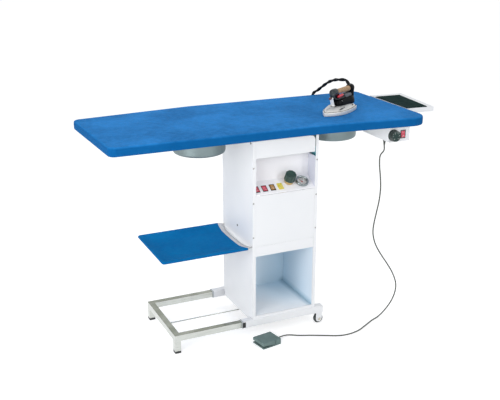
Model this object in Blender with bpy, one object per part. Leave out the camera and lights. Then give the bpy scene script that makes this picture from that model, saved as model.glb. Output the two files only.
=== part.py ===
"""Vacuum ironing table with a boiler, a steam iron and a foot switch.

A padded board stands on a narrow sheet-metal cabinet. Two suction tubs hang under the
board, the boiler and its control panel sit in the cabinet, and a chrome frame slides out
of the base rails to steady the long end. Metres, +Z up, floor at zero, origin in the
middle of the footprint.
"""

import math

import bmesh
import bpy
import numpy as np
from mathutils import Matrix, Vector

# Overall sizes
TABLE_LENGTH = 1.467
TABLE_DEPTH = 0.572
TABLE_HEIGHT = 0.900

# General fits: a gap between touching pieces, sheet steel, and how far a cutter overruns
GAP = 0.0003
SHEET = 0.0012
OVERRUN = 0.004

# Board: outline measured from its left, right, front and back lines
BOARD_DROP = 0.038
BOARD_FRONT_LEFT_INSET = 0.068
BOARD_LEFT_SKEW = 0.017
BOARD_FLARE_START = 0.875
BOARD_FLARE_INSET = 0.049
BOARD_RIGHT_SKEW = 0.015
BOARD_BACK_RIGHT_INSET = 0.024
BOARD_TAPER_END = 0.493
BOARD_BACK_LEFT_INSET = 0.037
BOARD_LEFT_RADIUS = 0.028
BOARD_FRONT_RIGHT_RADIUS = 0.062
BOARD_BACK_RIGHT_RADIUS = 0.036
BOARD_BEND_RADIUS = 0.400
CROWN = 0.003
CROWN_SHARES = ((0.15, 0.55), (0.40, 1.0))
COVER_EDGE_RADIUS = 0.008
COVER_ROLL_SHARE = 0.3
COVER_TUCK = 0.003
PADDING_THICKNESS = 0.010
PLATE_INSET = 0.0095
PLATE_THICKNESS = 0.0015
PAN_DEPTH = 0.018
PERFORATION = 0.010
PERFORATION_MARGIN = 0.110
HEATER_ROD = 0.006
HEATER_LENGTH = 1.020
HEATER_SPACING = 0.090

# Suction tubs and their fan wheels: the right tub fills a share of the room between the
# cabinet and the thermostat box, and the left tub mirrors it
TUB_Y = 0.028
TUB_RADIUS_SHARE = 0.4023
TUB_CLEARANCE = 0.002
TUB_DEPTH = 0.090
TUB_WALL = 0.002
TUB_ROUND = 0.008
MOTOR_RADIUS = 0.038
MOTOR_HEIGHT = 0.040
SHAFT_RADIUS = 0.005
FAN_RADIUS_SHARE = 0.71429
FAN_HUB = 0.014
FAN_BLADES = 8
BLADE_LEAN = 0.35
FAN_HEIGHT = 0.024
FAN_DISC = 0.003
FAN_BLADE = 0.0025
INLET_RADIUS_SHARE = 0.52381

# Cabinet
CABINET_X = 0.0115
CABINET_Y = 0.006
CABINET_WIDTH = 0.288
CABINET_DEPTH = 0.304
CABINET_BOTTOM = 0.065
FLANGE = 0.0125
REAR_FLANGE = 0.016
CUBBY_FLOOR = 0.094
CUBBY_TOP = 0.357
CUBBY_DEPTH = 0.276
PANEL_SEAM = 0.400
SHELF_FRONT = 0.618
FASCIA_BOTTOM = 0.766
FASCIA_TOP = 0.837
FASCIA_CORNER = 0.014
FASCIA_RETURN = 0.030
RECESS_SIDE_TOP = 0.747
RECESS_BACK_TOP = 0.790
RECESS_DEPTH = 0.061
PANEL_SLOPE = math.radians(30)
PANEL_RETURN = 0.014
HEEL_CHAMFER_DEPTH = 0.012
HEEL_CHAMFER_HEIGHT = 0.035
SLOT_WIDTH = 0.014
SLOT_HEIGHT = 0.005
SLOT_FROM_FRONT = 0.021
SLOT_FROM_TOP = 0.034
CABLE_HOLE = 0.003
CABLE_HOLE_Z = 0.444
VENT_COUNT = 6
VENT_WIDTH = 0.150
VENT_HEIGHT = 0.006
VENT_PITCH = 0.018
VENT_BOTTOM = 0.440

# Base rails, wheels and the frame that slides in the rails
RAIL = 0.030
RAIL_WALL = 0.0015
RAIL_CAP = 0.003
RAIL_BOTTOM = 0.051
RAIL_LEFT = 0.187
RAIL_RIGHT = 0.183
BACK_RAIL_SETBACK = 0.014
FRONT_RAIL_PROUD = 0.005
BUSHING_LIP = 0.006
BUSHING_DEPTH = 0.030
TUBE = 0.025
TUBE_WALL = 0.0015
EXTENSION_REACH = 0.484
TUBE_INSERT = 0.100
FOOT_HEIGHT = 0.010
FOOT_PLUG = 0.015
ROD_RADIUS = 0.003
ROD_DROP = 0.0075
ROD_LENGTH = 0.390
ROD_COLLAR = 0.006
TAB_THICKNESS = 0.002
TAB_FROM_LEFT = 0.030
TAB_WIDTH = 0.030
WHEEL_RADIUS = 0.021
WHEEL_WIDTH = 0.014
WHEEL_FROM_END = 0.016
HUB_RADIUS = 0.009
HUB_PROUD = 0.0015
AXLE_RADIUS = 0.003
FORK_THICKNESS = 0.002
FORK_RADIUS = 0.014
AXLE_HEAD = 0.005
AXLE_HEAD_HEIGHT = 0.003

# Garment tray
TRAY_Z = 0.399
TRAY_REACH = 0.378
TRAY_CLOTH_LENGTH = 0.359
TRAY_HALF_DEPTH = 0.156
TRAY_SOCKET_HALF = 0.144
TRAY_JOG = 0.010
TRAY_WIRE = 0.003
TRAY_INSERT = 0.032
TRAY_CORNER = 0.008
TRAY_CORNER_SHARE = 0.3
SOCKET_RADIUS = 0.006
CLOTH_THICKNESS = 0.0016
CLOTH_SAG = 0.018
CLOTH_HEM_SHARE = 0.4
CLOTH_INNER_CURVE = 0.030
CLOTH_COLUMN_SHARES = (0.0, 0.04, 0.16, 0.28, 0.4, 0.52, 0.64, 0.76, 0.88, 0.95, 1.0)
CLOTH_ROWS = 14

# Boiler and steam line
BOILER_Y = -0.020
BOILER_RADIUS = 0.085
BOILER_HEIGHT = 0.196
BOILER_SHOULDER = 0.018
BOILER_WALL = 0.002
NECK_ALONG_SLOPE = 0.046
NECK_RADIUS = 0.013
NECK_BORE = 0.009
COLLAR_RADIUS = 0.019
COLLAR_HEIGHT = 0.007
CAP_RADIUS = 0.023
CAP_HEIGHT = 0.032
CAP_FLUTES = 12
CAP_FLUTE_DEPTH = 0.0016
HEATER_FLANGE_RADIUS = 0.026
HEATER_FLANGE_THICKNESS = 0.010
HEATER_TERMINAL = 0.018
HEATER_ELEMENT_RADIUS = 0.004
HEATER_ELEMENT_LENGTH = 0.110
HEATER_HEIGHT = 0.045
VALVE_FROM_BOILER = 0.028
VALVE_Y = 0.018
VALVE_BLOCK = 0.030
COIL_RADIUS = 0.017
COIL_HEIGHT = 0.036
STEAM_PIPE_RADIUS = 0.005
OUTLET_RADIUS = 0.014
OUTLET_LENGTH = 0.022
OUTLET_NUT = 0.018
OUTLET_NUT_LENGTH = 0.008
GAUGE_ALONG_SLOPE = 0.036
GAUGE_RADIUS = 0.0275
GAUGE_RIM = 0.0035
GAUGE_RIM_HEIGHT = 0.007
GAUGE_FACE_HEIGHT = 0.002
GAUGE_BODY_RADIUS = 0.024
GAUGE_BODY_DEPTH = 0.026
NEEDLE_LENGTH = 0.017
NEEDLE_TAIL = 0.006
NEEDLE_WIDTH = 0.002
NEEDLE_THICKNESS = 0.0008
NEEDLE_LIFT = 0.0012
PIVOT_RADIUS = 0.0012
NEEDLE_TURN = math.radians(35)

# Panel row: three switches, a lamp, the cap and the gauge share out the free width
ROW_MARGIN_SHARE = 0.0436
ROW_SWITCH_SHARE = 0.17166
ROW_CAP_SHARE = 0.15259
ROW_GAUGE_SHARE = 0.06131
SWITCH_COUNT = 3
SWITCH_ALONG_SLOPE = 0.028
SWITCH_WIDTH = 0.022
SWITCH_LENGTH = 0.032
BEZEL = 0.0022
BEZEL_HEIGHT = 0.002
SWITCH_BODY_DEPTH = 0.022
WELL_DEPTH = 0.010
BANK_STRIP = 0.012
ROCKER_CLEARANCE = 0.0007
ROCKER_HEIGHT = 0.0035
ROCKER_AXIS_DEPTH = 0.003
ROCKER_TILT = math.radians(8)
ROCKER_DIP_SHARE = 0.55
WELL_RIM_SHARE = 1.25
LAMP_HEIGHT = 0.003

# Thermostat box under the board
BOX_PLACE_SHARE = 0.61848
BOX_WIDTH = 0.095
BOX_FRONT_INSET = 0.035
BOX_DEPTH = 0.197
BOX_HEIGHT = 0.0645
BOX_BOSS = 0.003
KNOB_X_FROM_LEFT = 0.017
KNOB_RADIUS = 0.024
KNOB_HEIGHT = 0.024
KNOB_SKIRT = 0.006
KNOB_GRIP_RADIUS = 0.019
SPINDLE_RADIUS = 0.003
SPINDLE_LENGTH = 0.018
THERMOSTAT_WIDTH = 0.032
THERMOSTAT_DEPTH = 0.028
THERMOSTAT_NEAR_SHARE = 0.45
BOX_SWITCH_X_FROM_LEFT = 0.063
BOX_SWITCH_WIDTH = 0.024
BOX_SWITCH_LENGTH = 0.034

# Pedal and its cord
PEDAL_X = -0.1013
PEDAL_Y = -0.2170
PEDAL_TURN = math.radians(10.5)
PEDAL_LENGTH = 0.087
PEDAL_WIDTH = 0.075
PEDAL_HEIGHT = 0.025
PEDAL_PLATE = 0.004
PEDAL_BLOCK = 0.012
PEDAL_CHEEK = 0.003
PEDAL_CHEEK_LENGTH = 0.026
PEDAL_PLAY = 0.0006
PEDAL_MOUTH = 0.009
PEDAL_PIN = 0.002
PEDAL_PIN_UP = 0.009
PEDAL_PIN_IN = 0.019
PEDAL_BORE_PLAY = 0.0004
RELIEF_LENGTH = 0.022
RELIEF_RADIUS = 0.005
CORD_DIAMETER = 0.0055
GLAND_RADIUS = 0.007
GLAND_LENGTH = 0.024
GLAND_THREAD_SHARE = 0.6
GLAND_NOSE_SHARE = 0.7
GLAND_NOSE_START_SHARE = 0.35
GLAND_NUT_SHARE = 0.3
GLAND_FROM_LEFT = 0.012
GLAND_FROM_FRONT = 0.052
CORD_LEAD_SHARE = 4
CORD_STEP_SHARE = 3.6

# Route of the pedal cord between the box gland and the pedal relief
PEDAL_CORD_ROUTE = (
    (0.4115, -0.1990, 0.7300), (0.4110, -0.1990, 0.6900), (0.4170, -0.1990, 0.6450),
    (0.4215, -0.1990, 0.5950), (0.4180, -0.1990, 0.5400), (0.4085, -0.1990, 0.4920),
    (0.3985, -0.1990, 0.4430), (0.3950, -0.1990, 0.4040), (0.4010, -0.1990, 0.3690),
    (0.4150, -0.1990, 0.3340), (0.4420, -0.1990, 0.2900), (0.4760, -0.1990, 0.2410),
    (0.5020, -0.1990, 0.1990), (0.5200, -0.1990, 0.1580), (0.5255, -0.1990, 0.1280),
    (0.5210, -0.1990, 0.0970), (0.5080, -0.1990, 0.0670), (0.4870, -0.2000, 0.0400),
    (0.4620, -0.2020, 0.0180), (0.4330, -0.2080, 0.0045), (0.3970, -0.2230, 0.0031),
    (0.3500, -0.2500, 0.0031), (0.3040, -0.2760, 0.0031), (0.2680, -0.2880, 0.0031),
    (0.2290, -0.2920, 0.0031), (0.1920, -0.2850, 0.0031), (0.1500, -0.2650, 0.0031),
    (0.0930, -0.2370, 0.0031), (0.0480, -0.2180, 0.0034), (0.0090, -0.1990, 0.0050),
)

# Iron rest at the right end
REST_WIDTH = 0.155
REST_FRONT_WIDTH = 0.128
REST_LENGTH = 0.282
REST_TURN = math.radians(-5)
REST_TOP = 0.893
REST_LIP = 0.020
REST_PIVOT_FROM_LEFT = 0.040
REST_PIVOT_FROM_BACK = 0.024
REST_PIVOT_FROM_BOARD_BACK = 0.152
REST_CLEARANCE = 0.00159
MAT_MARGIN_RIGHT = 0.031
MAT_MARGIN_LEFT = 0.001
MAT_MARGIN_BACK = 0.040
MAT_MARGIN_FRONT = 0.001
MAT_THICKNESS = 0.003
REST_PIN = 0.005
REST_ARM_WIDTH = 0.040
REST_ARM_THICKNESS = 0.004
REST_ARM_REACH = 0.110

# Iron
IRON_X = 0.1845
IRON_Y = -0.1352
IRON_TURN = math.radians(30)
SOLE_LENGTH = 0.208
SOLE_WIDTH = 0.096
SOLE_WALL = 0.015
SOLE_HEIGHT = 0.038
SOLE_WIDEST_SHARE = 0.48
SOLE_BLUNT = 0.75
SOLE_HEEL_SHARE = 0.62
SOLE_DECK_SHARES = ((0.16, 0.75), (0.24, 1.0))
IRON_BODY_START = 0.068
IRON_BODY_END = 0.202
IRON_BODY_WIDTH = 0.054
IRON_BODY_TOP = 0.056
IRON_BODY_LOW_SHARES = (0.5, 1.0, 0.8)
IRON_BODY_HIGH_SHARES = (0.4, 0.8, 0.6)
POST_WIDTH = 0.024
POST_DEPTH = 0.018
GRIP_RADIUS = 0.0125
GRIP_AXIS_Z = 0.0850
FRONT_POST_U = 0.070
REAR_POST_U = 0.206
TRIGGER_LENGTH = 0.046
TRIGGER_WIDTH = 0.012
TRIGGER_THICKNESS = 0.005
TRIGGER_EAR_SHARE = 0.75
TRIGGER_TIP_SHARE = 0.6
TRIGGER_Z = 0.0640
SPOUT_RADIUS = 0.0075
SPOUT_REACH = 0.026
SPOUT_RISE = math.radians(26)
SPOUT_SWING = math.radians(30)
TRIGGER_PIN = 0.002

# Steam hose between the iron and the outlet at the back of the cabinet
HOSE_DIAMETER = 0.011
HOSE_LEAD_SHARE = 2
HOSE_STEP_SHARE = 2
HOSE_APPROACH_SHARES = (3.2, 1.6)
HOSE_ROUTE = (
    (0.3560, 0.0420, 1.0035), (0.3550, 0.0875, 0.9945),
    (0.3540, 0.1371, 0.9770), (0.3530, 0.1900, 0.9480), (0.3525, 0.2309, 0.9235),
    (0.3522, 0.2620, 0.9080), (0.3522, 0.2815, 0.8880), (0.3522, 0.2890, 0.8620),
    (0.3520, 0.2910, 0.8200), (0.3500, 0.2920, 0.7400), (0.3450, 0.2920, 0.6200),
    (0.3350, 0.2910, 0.5000), (0.3150, 0.2900, 0.3900), (0.2800, 0.2880, 0.3050),
    (0.2330, 0.2850, 0.2700), (0.1850, 0.2820, 0.2850), (0.1450, 0.2770, 0.3350),
    (0.1150, 0.2700, 0.4050), (0.0930, 0.2600, 0.4800), (0.0790, 0.2420, 0.5400),
)

# Derived places shared by several pieces
REST_BACK = REST_PIVOT_FROM_BACK
REST_FRONT = REST_BACK - REST_LENGTH
REST_LEFT = -REST_PIVOT_FROM_LEFT
REST_RIGHT = REST_LEFT + REST_WIDTH
REST_FRONT_LEFT = REST_RIGHT - REST_FRONT_WIDTH
REST_CORNERS = (
    (REST_FRONT_LEFT, REST_FRONT), (REST_RIGHT, REST_FRONT),
    (REST_RIGHT, REST_BACK), (REST_LEFT, REST_BACK),
)
REST_SPREAD = [
    x * math.cos(REST_TURN) - y * math.sin(REST_TURN) for x, y in REST_CORNERS
]
REST_PIVOT_X = TABLE_LENGTH / 2 - max(REST_SPREAD)
BOARD_LEFT = -TABLE_LENGTH / 2
BOARD_RIGHT = REST_PIVOT_X + min(REST_SPREAD) - REST_CLEARANCE
BOARD_FRONT = -TABLE_DEPTH / 2
BOARD_BACK = TABLE_DEPTH / 2
REST_PIVOT_Y = BOARD_BACK - REST_PIVOT_FROM_BOARD_BACK
PAN_BOTTOM = TABLE_HEIGHT - BOARD_DROP
PAN_TOP = PAN_BOTTOM + PAN_DEPTH
PLATE_TOP = PAN_TOP + GAP + PLATE_THICKNESS
PADDING_TOP = PLATE_TOP + GAP + PADDING_THICKNESS
CABINET_TOP = PAN_BOTTOM - GAP
CABINET_LEFT = CABINET_X - CABINET_WIDTH / 2
CABINET_RIGHT = CABINET_X + CABINET_WIDTH / 2
CABINET_FRONT = CABINET_Y - CABINET_DEPTH / 2
CABINET_BACK = CABINET_Y + CABINET_DEPTH / 2
INNER_LEFT = CABINET_LEFT + SHEET + GAP
INNER_RIGHT = CABINET_RIGHT - SHEET - GAP
OPEN_LEFT = CABINET_LEFT + FLANGE + GAP
OPEN_RIGHT = CABINET_RIGHT - FLANGE - GAP
RAIL_TOP = RAIL_BOTTOM + RAIL
FRONT_RAIL_Y = CABINET_FRONT - FRONT_RAIL_PROUD + RAIL / 2
BACK_RAIL_Y = CABINET_BACK + BACK_RAIL_SETBACK + RAIL / 2
RAIL_Z = RAIL_BOTTOM + RAIL / 2
RAIL_START = CABINET_X - RAIL_LEFT
RAIL_END = CABINET_X + RAIL_RIGHT
ROW_PIECES = (SWITCH_COUNT + 1) * SWITCH_WIDTH + 2 * CAP_RADIUS + 2 * GAUGE_RADIUS
ROW_FREE = OPEN_RIGHT - OPEN_LEFT - ROW_PIECES
SWITCH_PITCH = SWITCH_WIDTH + ROW_FREE * ROW_SWITCH_SHARE
ROW_START = OPEN_LEFT - CABINET_X + ROW_FREE * ROW_MARGIN_SHARE
SWITCH_FIRST_X = ROW_START + SWITCH_WIDTH / 2
LAMP_X = SWITCH_FIRST_X + SWITCH_COUNT * SWITCH_PITCH
NECK_X = LAMP_X + SWITCH_WIDTH / 2 + ROW_FREE * ROW_CAP_SHARE + CAP_RADIUS
GAUGE_X = NECK_X + CAP_RADIUS + ROW_FREE * ROW_GAUGE_SHARE + GAUGE_RADIUS
BOILER_X = NECK_X
VALVE_X = BOILER_X + VALVE_FROM_BOILER
LINER_TOP = CUBBY_TOP + SHEET
BOILER_BOTTOM = LINER_TOP + GAP
BOILER_TOP = BOILER_BOTTOM + BOILER_HEIGHT
VALVE_Z = BOILER_TOP + GAP + VALVE_BLOCK / 2
BOX_LEFT = CABINET_RIGHT + BOX_PLACE_SHARE * (BOARD_RIGHT - CABINET_RIGHT)
BOX_FRONT = BOARD_FRONT + BOX_FRONT_INSET
TUB_RADIUS = TUB_RADIUS_SHARE * (BOX_LEFT - CABINET_RIGHT)
TUB_REACH = BOX_LEFT - TUB_CLEARANCE - TUB_RADIUS - CABINET_X
FAN_RADIUS = FAN_RADIUS_SHARE * TUB_RADIUS
INLET_RADIUS = INLET_RADIUS_SHARE * TUB_RADIUS
BOX_TOP = PAN_BOTTOM - GAP
BOX_BOTTOM = BOX_TOP - BOX_HEIGHT
BOX_MID_Z = BOX_BOTTOM + BOX_HEIGHT / 2 - BOX_BOSS

PALETTE = {
    "white_paint": ((0.86, 0.87, 0.89), 0.35, 0.0),
    "inner_steel": ((0.62, 0.66, 0.72), 0.45, 0.2),
    "chrome": ((0.80, 0.81, 0.80), 0.15, 1.0),
    "black_plastic": ((0.03, 0.04, 0.04), 0.45, 0.0),
    "dark_green_plastic": ((0.05, 0.09, 0.08), 0.50, 0.0),
    "blue_cloth": ((0.03, 0.21, 0.55), 0.85, 0.0),
    "felt": ((0.75, 0.74, 0.70), 0.95, 0.0),
    "galvanised": ((0.45, 0.50, 0.50), 0.50, 0.6),
    "brass": ((0.72, 0.52, 0.22), 0.30, 1.0),
    "red_plastic": ((0.75, 0.05, 0.07), 0.30, 0.0),
    "orange_plastic": ((0.70, 0.28, 0.05), 0.30, 0.0),
    "yellow_plastic": ((0.90, 0.72, 0.10), 0.30, 0.0),
    "white_dial": ((0.90, 0.90, 0.88), 0.40, 0.0),
    "aluminium": ((0.78, 0.77, 0.74), 0.25, 1.0),
    "cork": ((0.45, 0.30, 0.18), 0.85, 0.0),
    "black_rubber": ((0.02, 0.02, 0.02), 0.70, 0.0),
    "grey_cable": ((0.18, 0.20, 0.15), 0.60, 0.0),
}


# Modelling helpers


def material(name):
    found = bpy.data.materials.get(name)
    if found:
        return found
    colour, roughness, metallic = PALETTE[name]
    made = bpy.data.materials.new(name)
    made.use_nodes = True
    shader = made.node_tree.nodes["Principled BSDF"]
    shader.inputs["Base Color"].default_value = (*colour, 1.0)
    shader.inputs["Roughness"].default_value = roughness
    shader.inputs["Metallic"].default_value = metallic
    return made


def make_object(name, mesh_data, finish, smooth=False):
    bmesh.ops.recalc_face_normals(mesh_data, faces=mesh_data.faces)
    mesh = bpy.data.meshes.new(name)
    mesh_data.to_mesh(mesh)
    mesh_data.free()
    if smooth:
        mesh.shade_smooth()
        mesh.set_sharp_from_angle(angle=math.radians(35))
    mesh.materials.append(material(finish))
    made = bpy.data.objects.new(name, mesh)
    bpy.context.scene.collection.objects.link(made)
    return made


def loft(name, rings, finish, smooth=False, closed=False):
    """Skin equal rings of points. The two end rings are capped, or joined if closed."""
    mesh_data = bmesh.new()
    rows = [[mesh_data.verts.new(point) for point in ring] for ring in rings]
    pairs = list(zip(rows, rows[1:]))
    if closed:
        pairs.append((rows[-1], rows[0]))
    else:
        mesh_data.faces.new(list(reversed(rows[0])))
        mesh_data.faces.new(rows[-1])
    for lower, upper in pairs:
        for index in range(len(lower)):
            after = (index + 1) % len(lower)
            mesh_data.faces.new((lower[index], lower[after], upper[after], upper[index]))
    return make_object(name, mesh_data, finish, smooth)


def box(name, low, high, finish):
    (x0, y0, z0), (x1, y1, z1) = low, high
    rings = [[(x0, y0, z), (x1, y0, z), (x1, y1, z), (x0, y1, z)] for z in (z0, z1)]
    return loft(name, rings, finish)


def prism(name, outline, axis, start, end, finish, smooth=False):
    """Push a flat outline along X, Y or Z. Its points are the two other coordinates."""
    place = {
        "X": lambda a, b, t: (t, a, b),
        "Y": lambda a, b, t: (a, t, b),
        "Z": lambda a, b, t: (a, b, t),
    }[axis]
    rings = [[place(a, b, t) for a, b in outline] for t in (start, end)]
    return loft(name, rings, finish, smooth)


def circle(radius, sides, turn=0.0):
    steps = [turn + 2 * math.pi * index / sides for index in range(sides)]
    return [(radius * math.cos(angle), radius * math.sin(angle)) for angle in steps]


def turned(name, profile, centre, axis, sides, finish, closed=False):
    """Turn a profile of (radius, height) about an axis through the centre."""
    place = {
        "X": lambda a, b, t: Vector((t, a, b)),
        "Y": lambda a, b, t: Vector((a, t, b)),
        "Z": lambda a, b, t: Vector((a, b, t)),
    }[axis]
    middle = Vector(centre)
    rings = []
    for radius, height in profile:
        rings.append([middle + place(a, b, height) for a, b in circle(radius, sides)])
    return loft(name, rings, finish, True, closed)


def combine(target, tool, operation):
    modifier = target.modifiers.new(tool.name, "BOOLEAN")
    modifier.object = tool
    modifier.operation = operation
    modifier.solver = "EXACT"
    tool.hide_render = True
    tool.display_type = "WIRE"
    tool.parent = target.parent


def cut(target, *tools):
    for tool in tools:
        combine(target, tool, "DIFFERENCE")


def join(target, *tools):
    for tool in tools:
        combine(target, tool, "UNION")


def hang(pieces, parent):
    for piece in pieces:
        piece.parent = parent
        for modifier in piece.modifiers:
            if modifier.type == "BOOLEAN":
                modifier.object.parent = parent


def frame_empty(name, location, rotation=(0.0, 0.0, 0.0)):
    made = bpy.data.objects.new(name, None)
    made.location = location
    made.rotation_euler = rotation
    bpy.context.scene.collection.objects.link(made)
    return made


def set_origin(piece, point):
    """Move a piece's origin onto its joint, with the piece where it was."""
    piece.data.transform(Matrix.Translation(-Vector(point)))
    piece.location = point


def rounded(corners, steps):
    """Outline through corners of (x, y, radius), each turned into an arc."""
    outline = []
    for index, (x, y, radius) in enumerate(corners):
        corner = Vector((x, y))
        before = (Vector(corners[index - 1][:2]) - corner).normalized()
        after = (Vector(corners[(index + 1) % len(corners)][:2]) - corner).normalized()
        half = before.angle(after) / 2
        reach = radius / math.tan(half)
        centre = corner + (before + after).normalized() * radius / math.sin(half)
        start = corner + before * reach - centre
        end = corner + after * reach - centre
        sweep = start.angle_signed(end)
        for step in range(steps + 1):
            arm = start.copy()
            arm.rotate(Matrix.Rotation(-sweep * step / steps, 2))
            outline.append(centre + arm)
    return outline


def inset(outline, distance):
    """Move each side of a flat outline inwards by the distance."""
    moved = []
    count = len(outline)
    for index in range(count):
        point = outline[index]
        before = (point - outline[index - 1]).normalized()
        after = (outline[(index + 1) % count] - point).normalized()
        inward = Vector((-before.y - after.y, before.x + after.x)).normalized()
        square = Vector((-before.y, before.x))
        moved.append(point + inward * distance / inward.dot(square))
    return moved


def smooth_route(points, spacing):
    """Points a spacing apart along a smooth curve through the route's own points."""
    path = [Vector(point) for point in points]
    path = [2 * path[0] - path[1], *path, 2 * path[-1] - path[-2]]
    fine = []
    for index in range(1, len(path) - 2):
        p0, p1, p2, p3 = path[index - 1:index + 3]
        for step in range(24):
            t = step / 24
            along = (
                2 * p1 + (p2 - p0) * t + (2 * p0 - 5 * p1 + 4 * p2 - p3) * t * t
                + (3 * p1 - p0 - 3 * p2 + p3) * t ** 3
            )
            fine.append(along / 2)
    fine.append(path[-2])
    lengths = [0.0]
    for first, second in zip(fine, fine[1:]):
        lengths.append(lengths[-1] + (second - first).length)
    count = max(2, round(lengths[-1] / spacing))
    marks = np.linspace(0, lengths[-1], count + 1)
    columns = [np.interp(marks, lengths, [p[axis] for p in fine]) for axis in range(3)]
    return [Vector(row) for row in zip(*columns)]


def cord_tube(name, points, diameter, resolution, finish):
    curve = bpy.data.curves.new(name, "CURVE")
    curve.dimensions = "3D"
    curve.bevel_depth = diameter / 2
    curve.bevel_resolution = resolution
    curve.use_fill_caps = True
    spline = curve.splines.new("POLY")
    spline.points.add(len(points) - 1)
    for knot, point in zip(spline.points, points):
        knot.co = (*point, 1.0)
    curve.materials.append(material(finish))
    made = bpy.data.objects.new(name, curve)
    bpy.context.scene.collection.objects.link(made)
    return made


def swept_rod(name, points, radius, sides, finish):
    """A round rod that follows a path lying in a level plane."""
    rings = []
    path = [Vector(point) for point in points]
    for index, point in enumerate(path):
        before = path[max(index - 1, 0)]
        after = path[min(index + 1, len(path) - 1)]
        ahead = (after - before).normalized()
        side = Vector((ahead.y, -ahead.x, 0.0))
        stretch = 1.0
        if 0 < index < len(path) - 1:
            turn = (point - before).angle(after - point)
            stretch = 1 / math.cos(turn / 2)
        ring = []
        for a, b in circle(radius, sides):
            ring.append(point + side * a * stretch + Vector((0, 0, b)))
        rings.append(ring)
    return loft(name, rings, finish, True)


# Board


def board_outline():
    left, right, front, back = BOARD_LEFT, BOARD_RIGHT, BOARD_FRONT, BOARD_BACK
    corners = [
        (left + BOARD_LEFT_SKEW, front + BOARD_FRONT_LEFT_INSET, BOARD_LEFT_RADIUS),
        (left + BOARD_FLARE_START, front + BOARD_FLARE_INSET, BOARD_BEND_RADIUS),
        (right, front, BOARD_FRONT_RIGHT_RADIUS),
        (right - BOARD_RIGHT_SKEW, back - BOARD_BACK_RIGHT_INSET, BOARD_BACK_RIGHT_RADIUS),
        (left + BOARD_TAPER_END, back, BOARD_BEND_RADIUS),
        (left, back - BOARD_BACK_LEFT_INSET, BOARD_LEFT_RADIUS),
    ]
    outline = rounded(corners, 5)
    low = Vector((min(p.x for p in outline), min(p.y for p in outline)))
    high = Vector((max(p.x for p in outline), max(p.y for p in outline)))
    scale_x = (right - left) / (high.x - low.x)
    scale_y = (back - front) / (high.y - low.y)
    fitted = []
    for point in outline:
        x = left + (point.x - low.x) * scale_x
        y = front + (point.y - low.y) * scale_y
        fitted.append(Vector((x, y)))
    return fitted


def raise_ring(outline, height):
    return [(point.x, point.y, height) for point in outline]


def perforated_places():
    inner_left = BOARD_LEFT + PERFORATION_MARGIN
    inner_right = BOARD_RIGHT - PERFORATION_MARGIN
    inner_back = BOARD_BACK - PERFORATION_MARGIN
    columns = 9
    rows = 4
    places = []
    for column in range(columns):
        for row in range(rows):
            x = inner_left + (inner_right - inner_left) * column / (columns - 1)
            y = -inner_back + 2 * inner_back * row / (rows - 1)
            places.append((x, y))
    return places


def make_board():
    outline = board_outline()
    body = inset(outline, PLATE_INSET)
    inner = inset(body, SHEET)
    pan = loft(
        "board_pan",
        [raise_ring(body, PAN_BOTTOM), raise_ring(body, PAN_TOP)],
        "white_paint",
    )
    hollow = loft(
        "pan_hollow",
        [raise_ring(inner, PAN_BOTTOM + SHEET), raise_ring(inner, PAN_TOP + OVERRUN)],
        "white_paint",
    )
    inlets = []
    for side in (-1, 1):
        centre = (CABINET_X + side * TUB_REACH, TUB_Y, PAN_BOTTOM)
        profile = [(INLET_RADIUS, -OVERRUN), (INLET_RADIUS, OVERRUN)]
        inlets.append(turned(f"inlet_{side}", profile, centre, "Z", 20, "white_paint"))
    cut(pan, hollow, *inlets)

    plate = loft(
        "perforated_plate",
        [raise_ring(body, PAN_TOP + GAP), raise_ring(body, PLATE_TOP)],
        "galvanised",
    )
    holes = bmesh.new()
    for x, y in perforated_places():
        spin = Matrix.Translation((x, y, PAN_TOP))
        bmesh.ops.create_cone(
            holes, cap_ends=True, segments=6, radius1=PERFORATION / 2,
            radius2=PERFORATION / 2, depth=2 * OVERRUN, matrix=spin,
        )
    cut(plate, make_object("perforations", holes, "galvanised"))

    loft(
        "board_padding",
        [raise_ring(body, PLATE_TOP + GAP), raise_ring(body, PADDING_TOP)],
        "felt",
    )

    run = HEATER_LENGTH / 2
    half = HEATER_SPACING / 2
    heater_x = (BOARD_LEFT + BOARD_RIGHT) / 2
    heater_z = PAN_BOTTOM + SHEET + GAP + HEATER_ROD / 2
    path = []
    for row, y in enumerate((-3 * half, -half, half, 3 * half)):
        ends = (-run, run) if row % 2 == 0 else (run, -run)
        for x in ends:
            path.append((heater_x + x, y + TUB_Y / 2, heater_z))
    swept_rod("board_heater", path, HEATER_ROD / 2, 6, "galvanised")

    make_cover(outline)


def make_cover(outline):
    """Cloth over foam: the skirt tucks under the pan, the top is slightly crowned."""
    middle = sum(outline, Vector((0, 0))) / len(outline)

    def ring(distance, share, height):
        moved = inset(outline, distance)
        return [(*(point.lerp(middle, share)), height) for point in moved]

    edge = TABLE_HEIGHT - CROWN
    skirt = PAN_BOTTOM + GAP
    lining = PADDING_TOP + GAP
    inner_inset = PLATE_INSET - GAP
    roll = COVER_EDGE_RADIUS * COVER_ROLL_SHARE
    rings = [
        ring(inner_inset, 0.0, lining),
        ring(inner_inset, 0.0, skirt + GAP),
        ring(COVER_TUCK, 0.0, skirt),
        ring(GAP, 0.0, skirt + COVER_EDGE_RADIUS / 2),
        ring(0.0, 0.0, (skirt + edge) / 2),
        ring(GAP, 0.0, edge - COVER_EDGE_RADIUS),
        ring(roll, 0.0, edge - roll),
        ring(COVER_EDGE_RADIUS, 0.0, edge),
    ]
    for inward, rise in CROWN_SHARES:
        rings.append(ring(COVER_EDGE_RADIUS, inward, edge + CROWN * rise))
    return loft("board_cover", rings, "blue_cloth", True)


# Suction tubs


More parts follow.
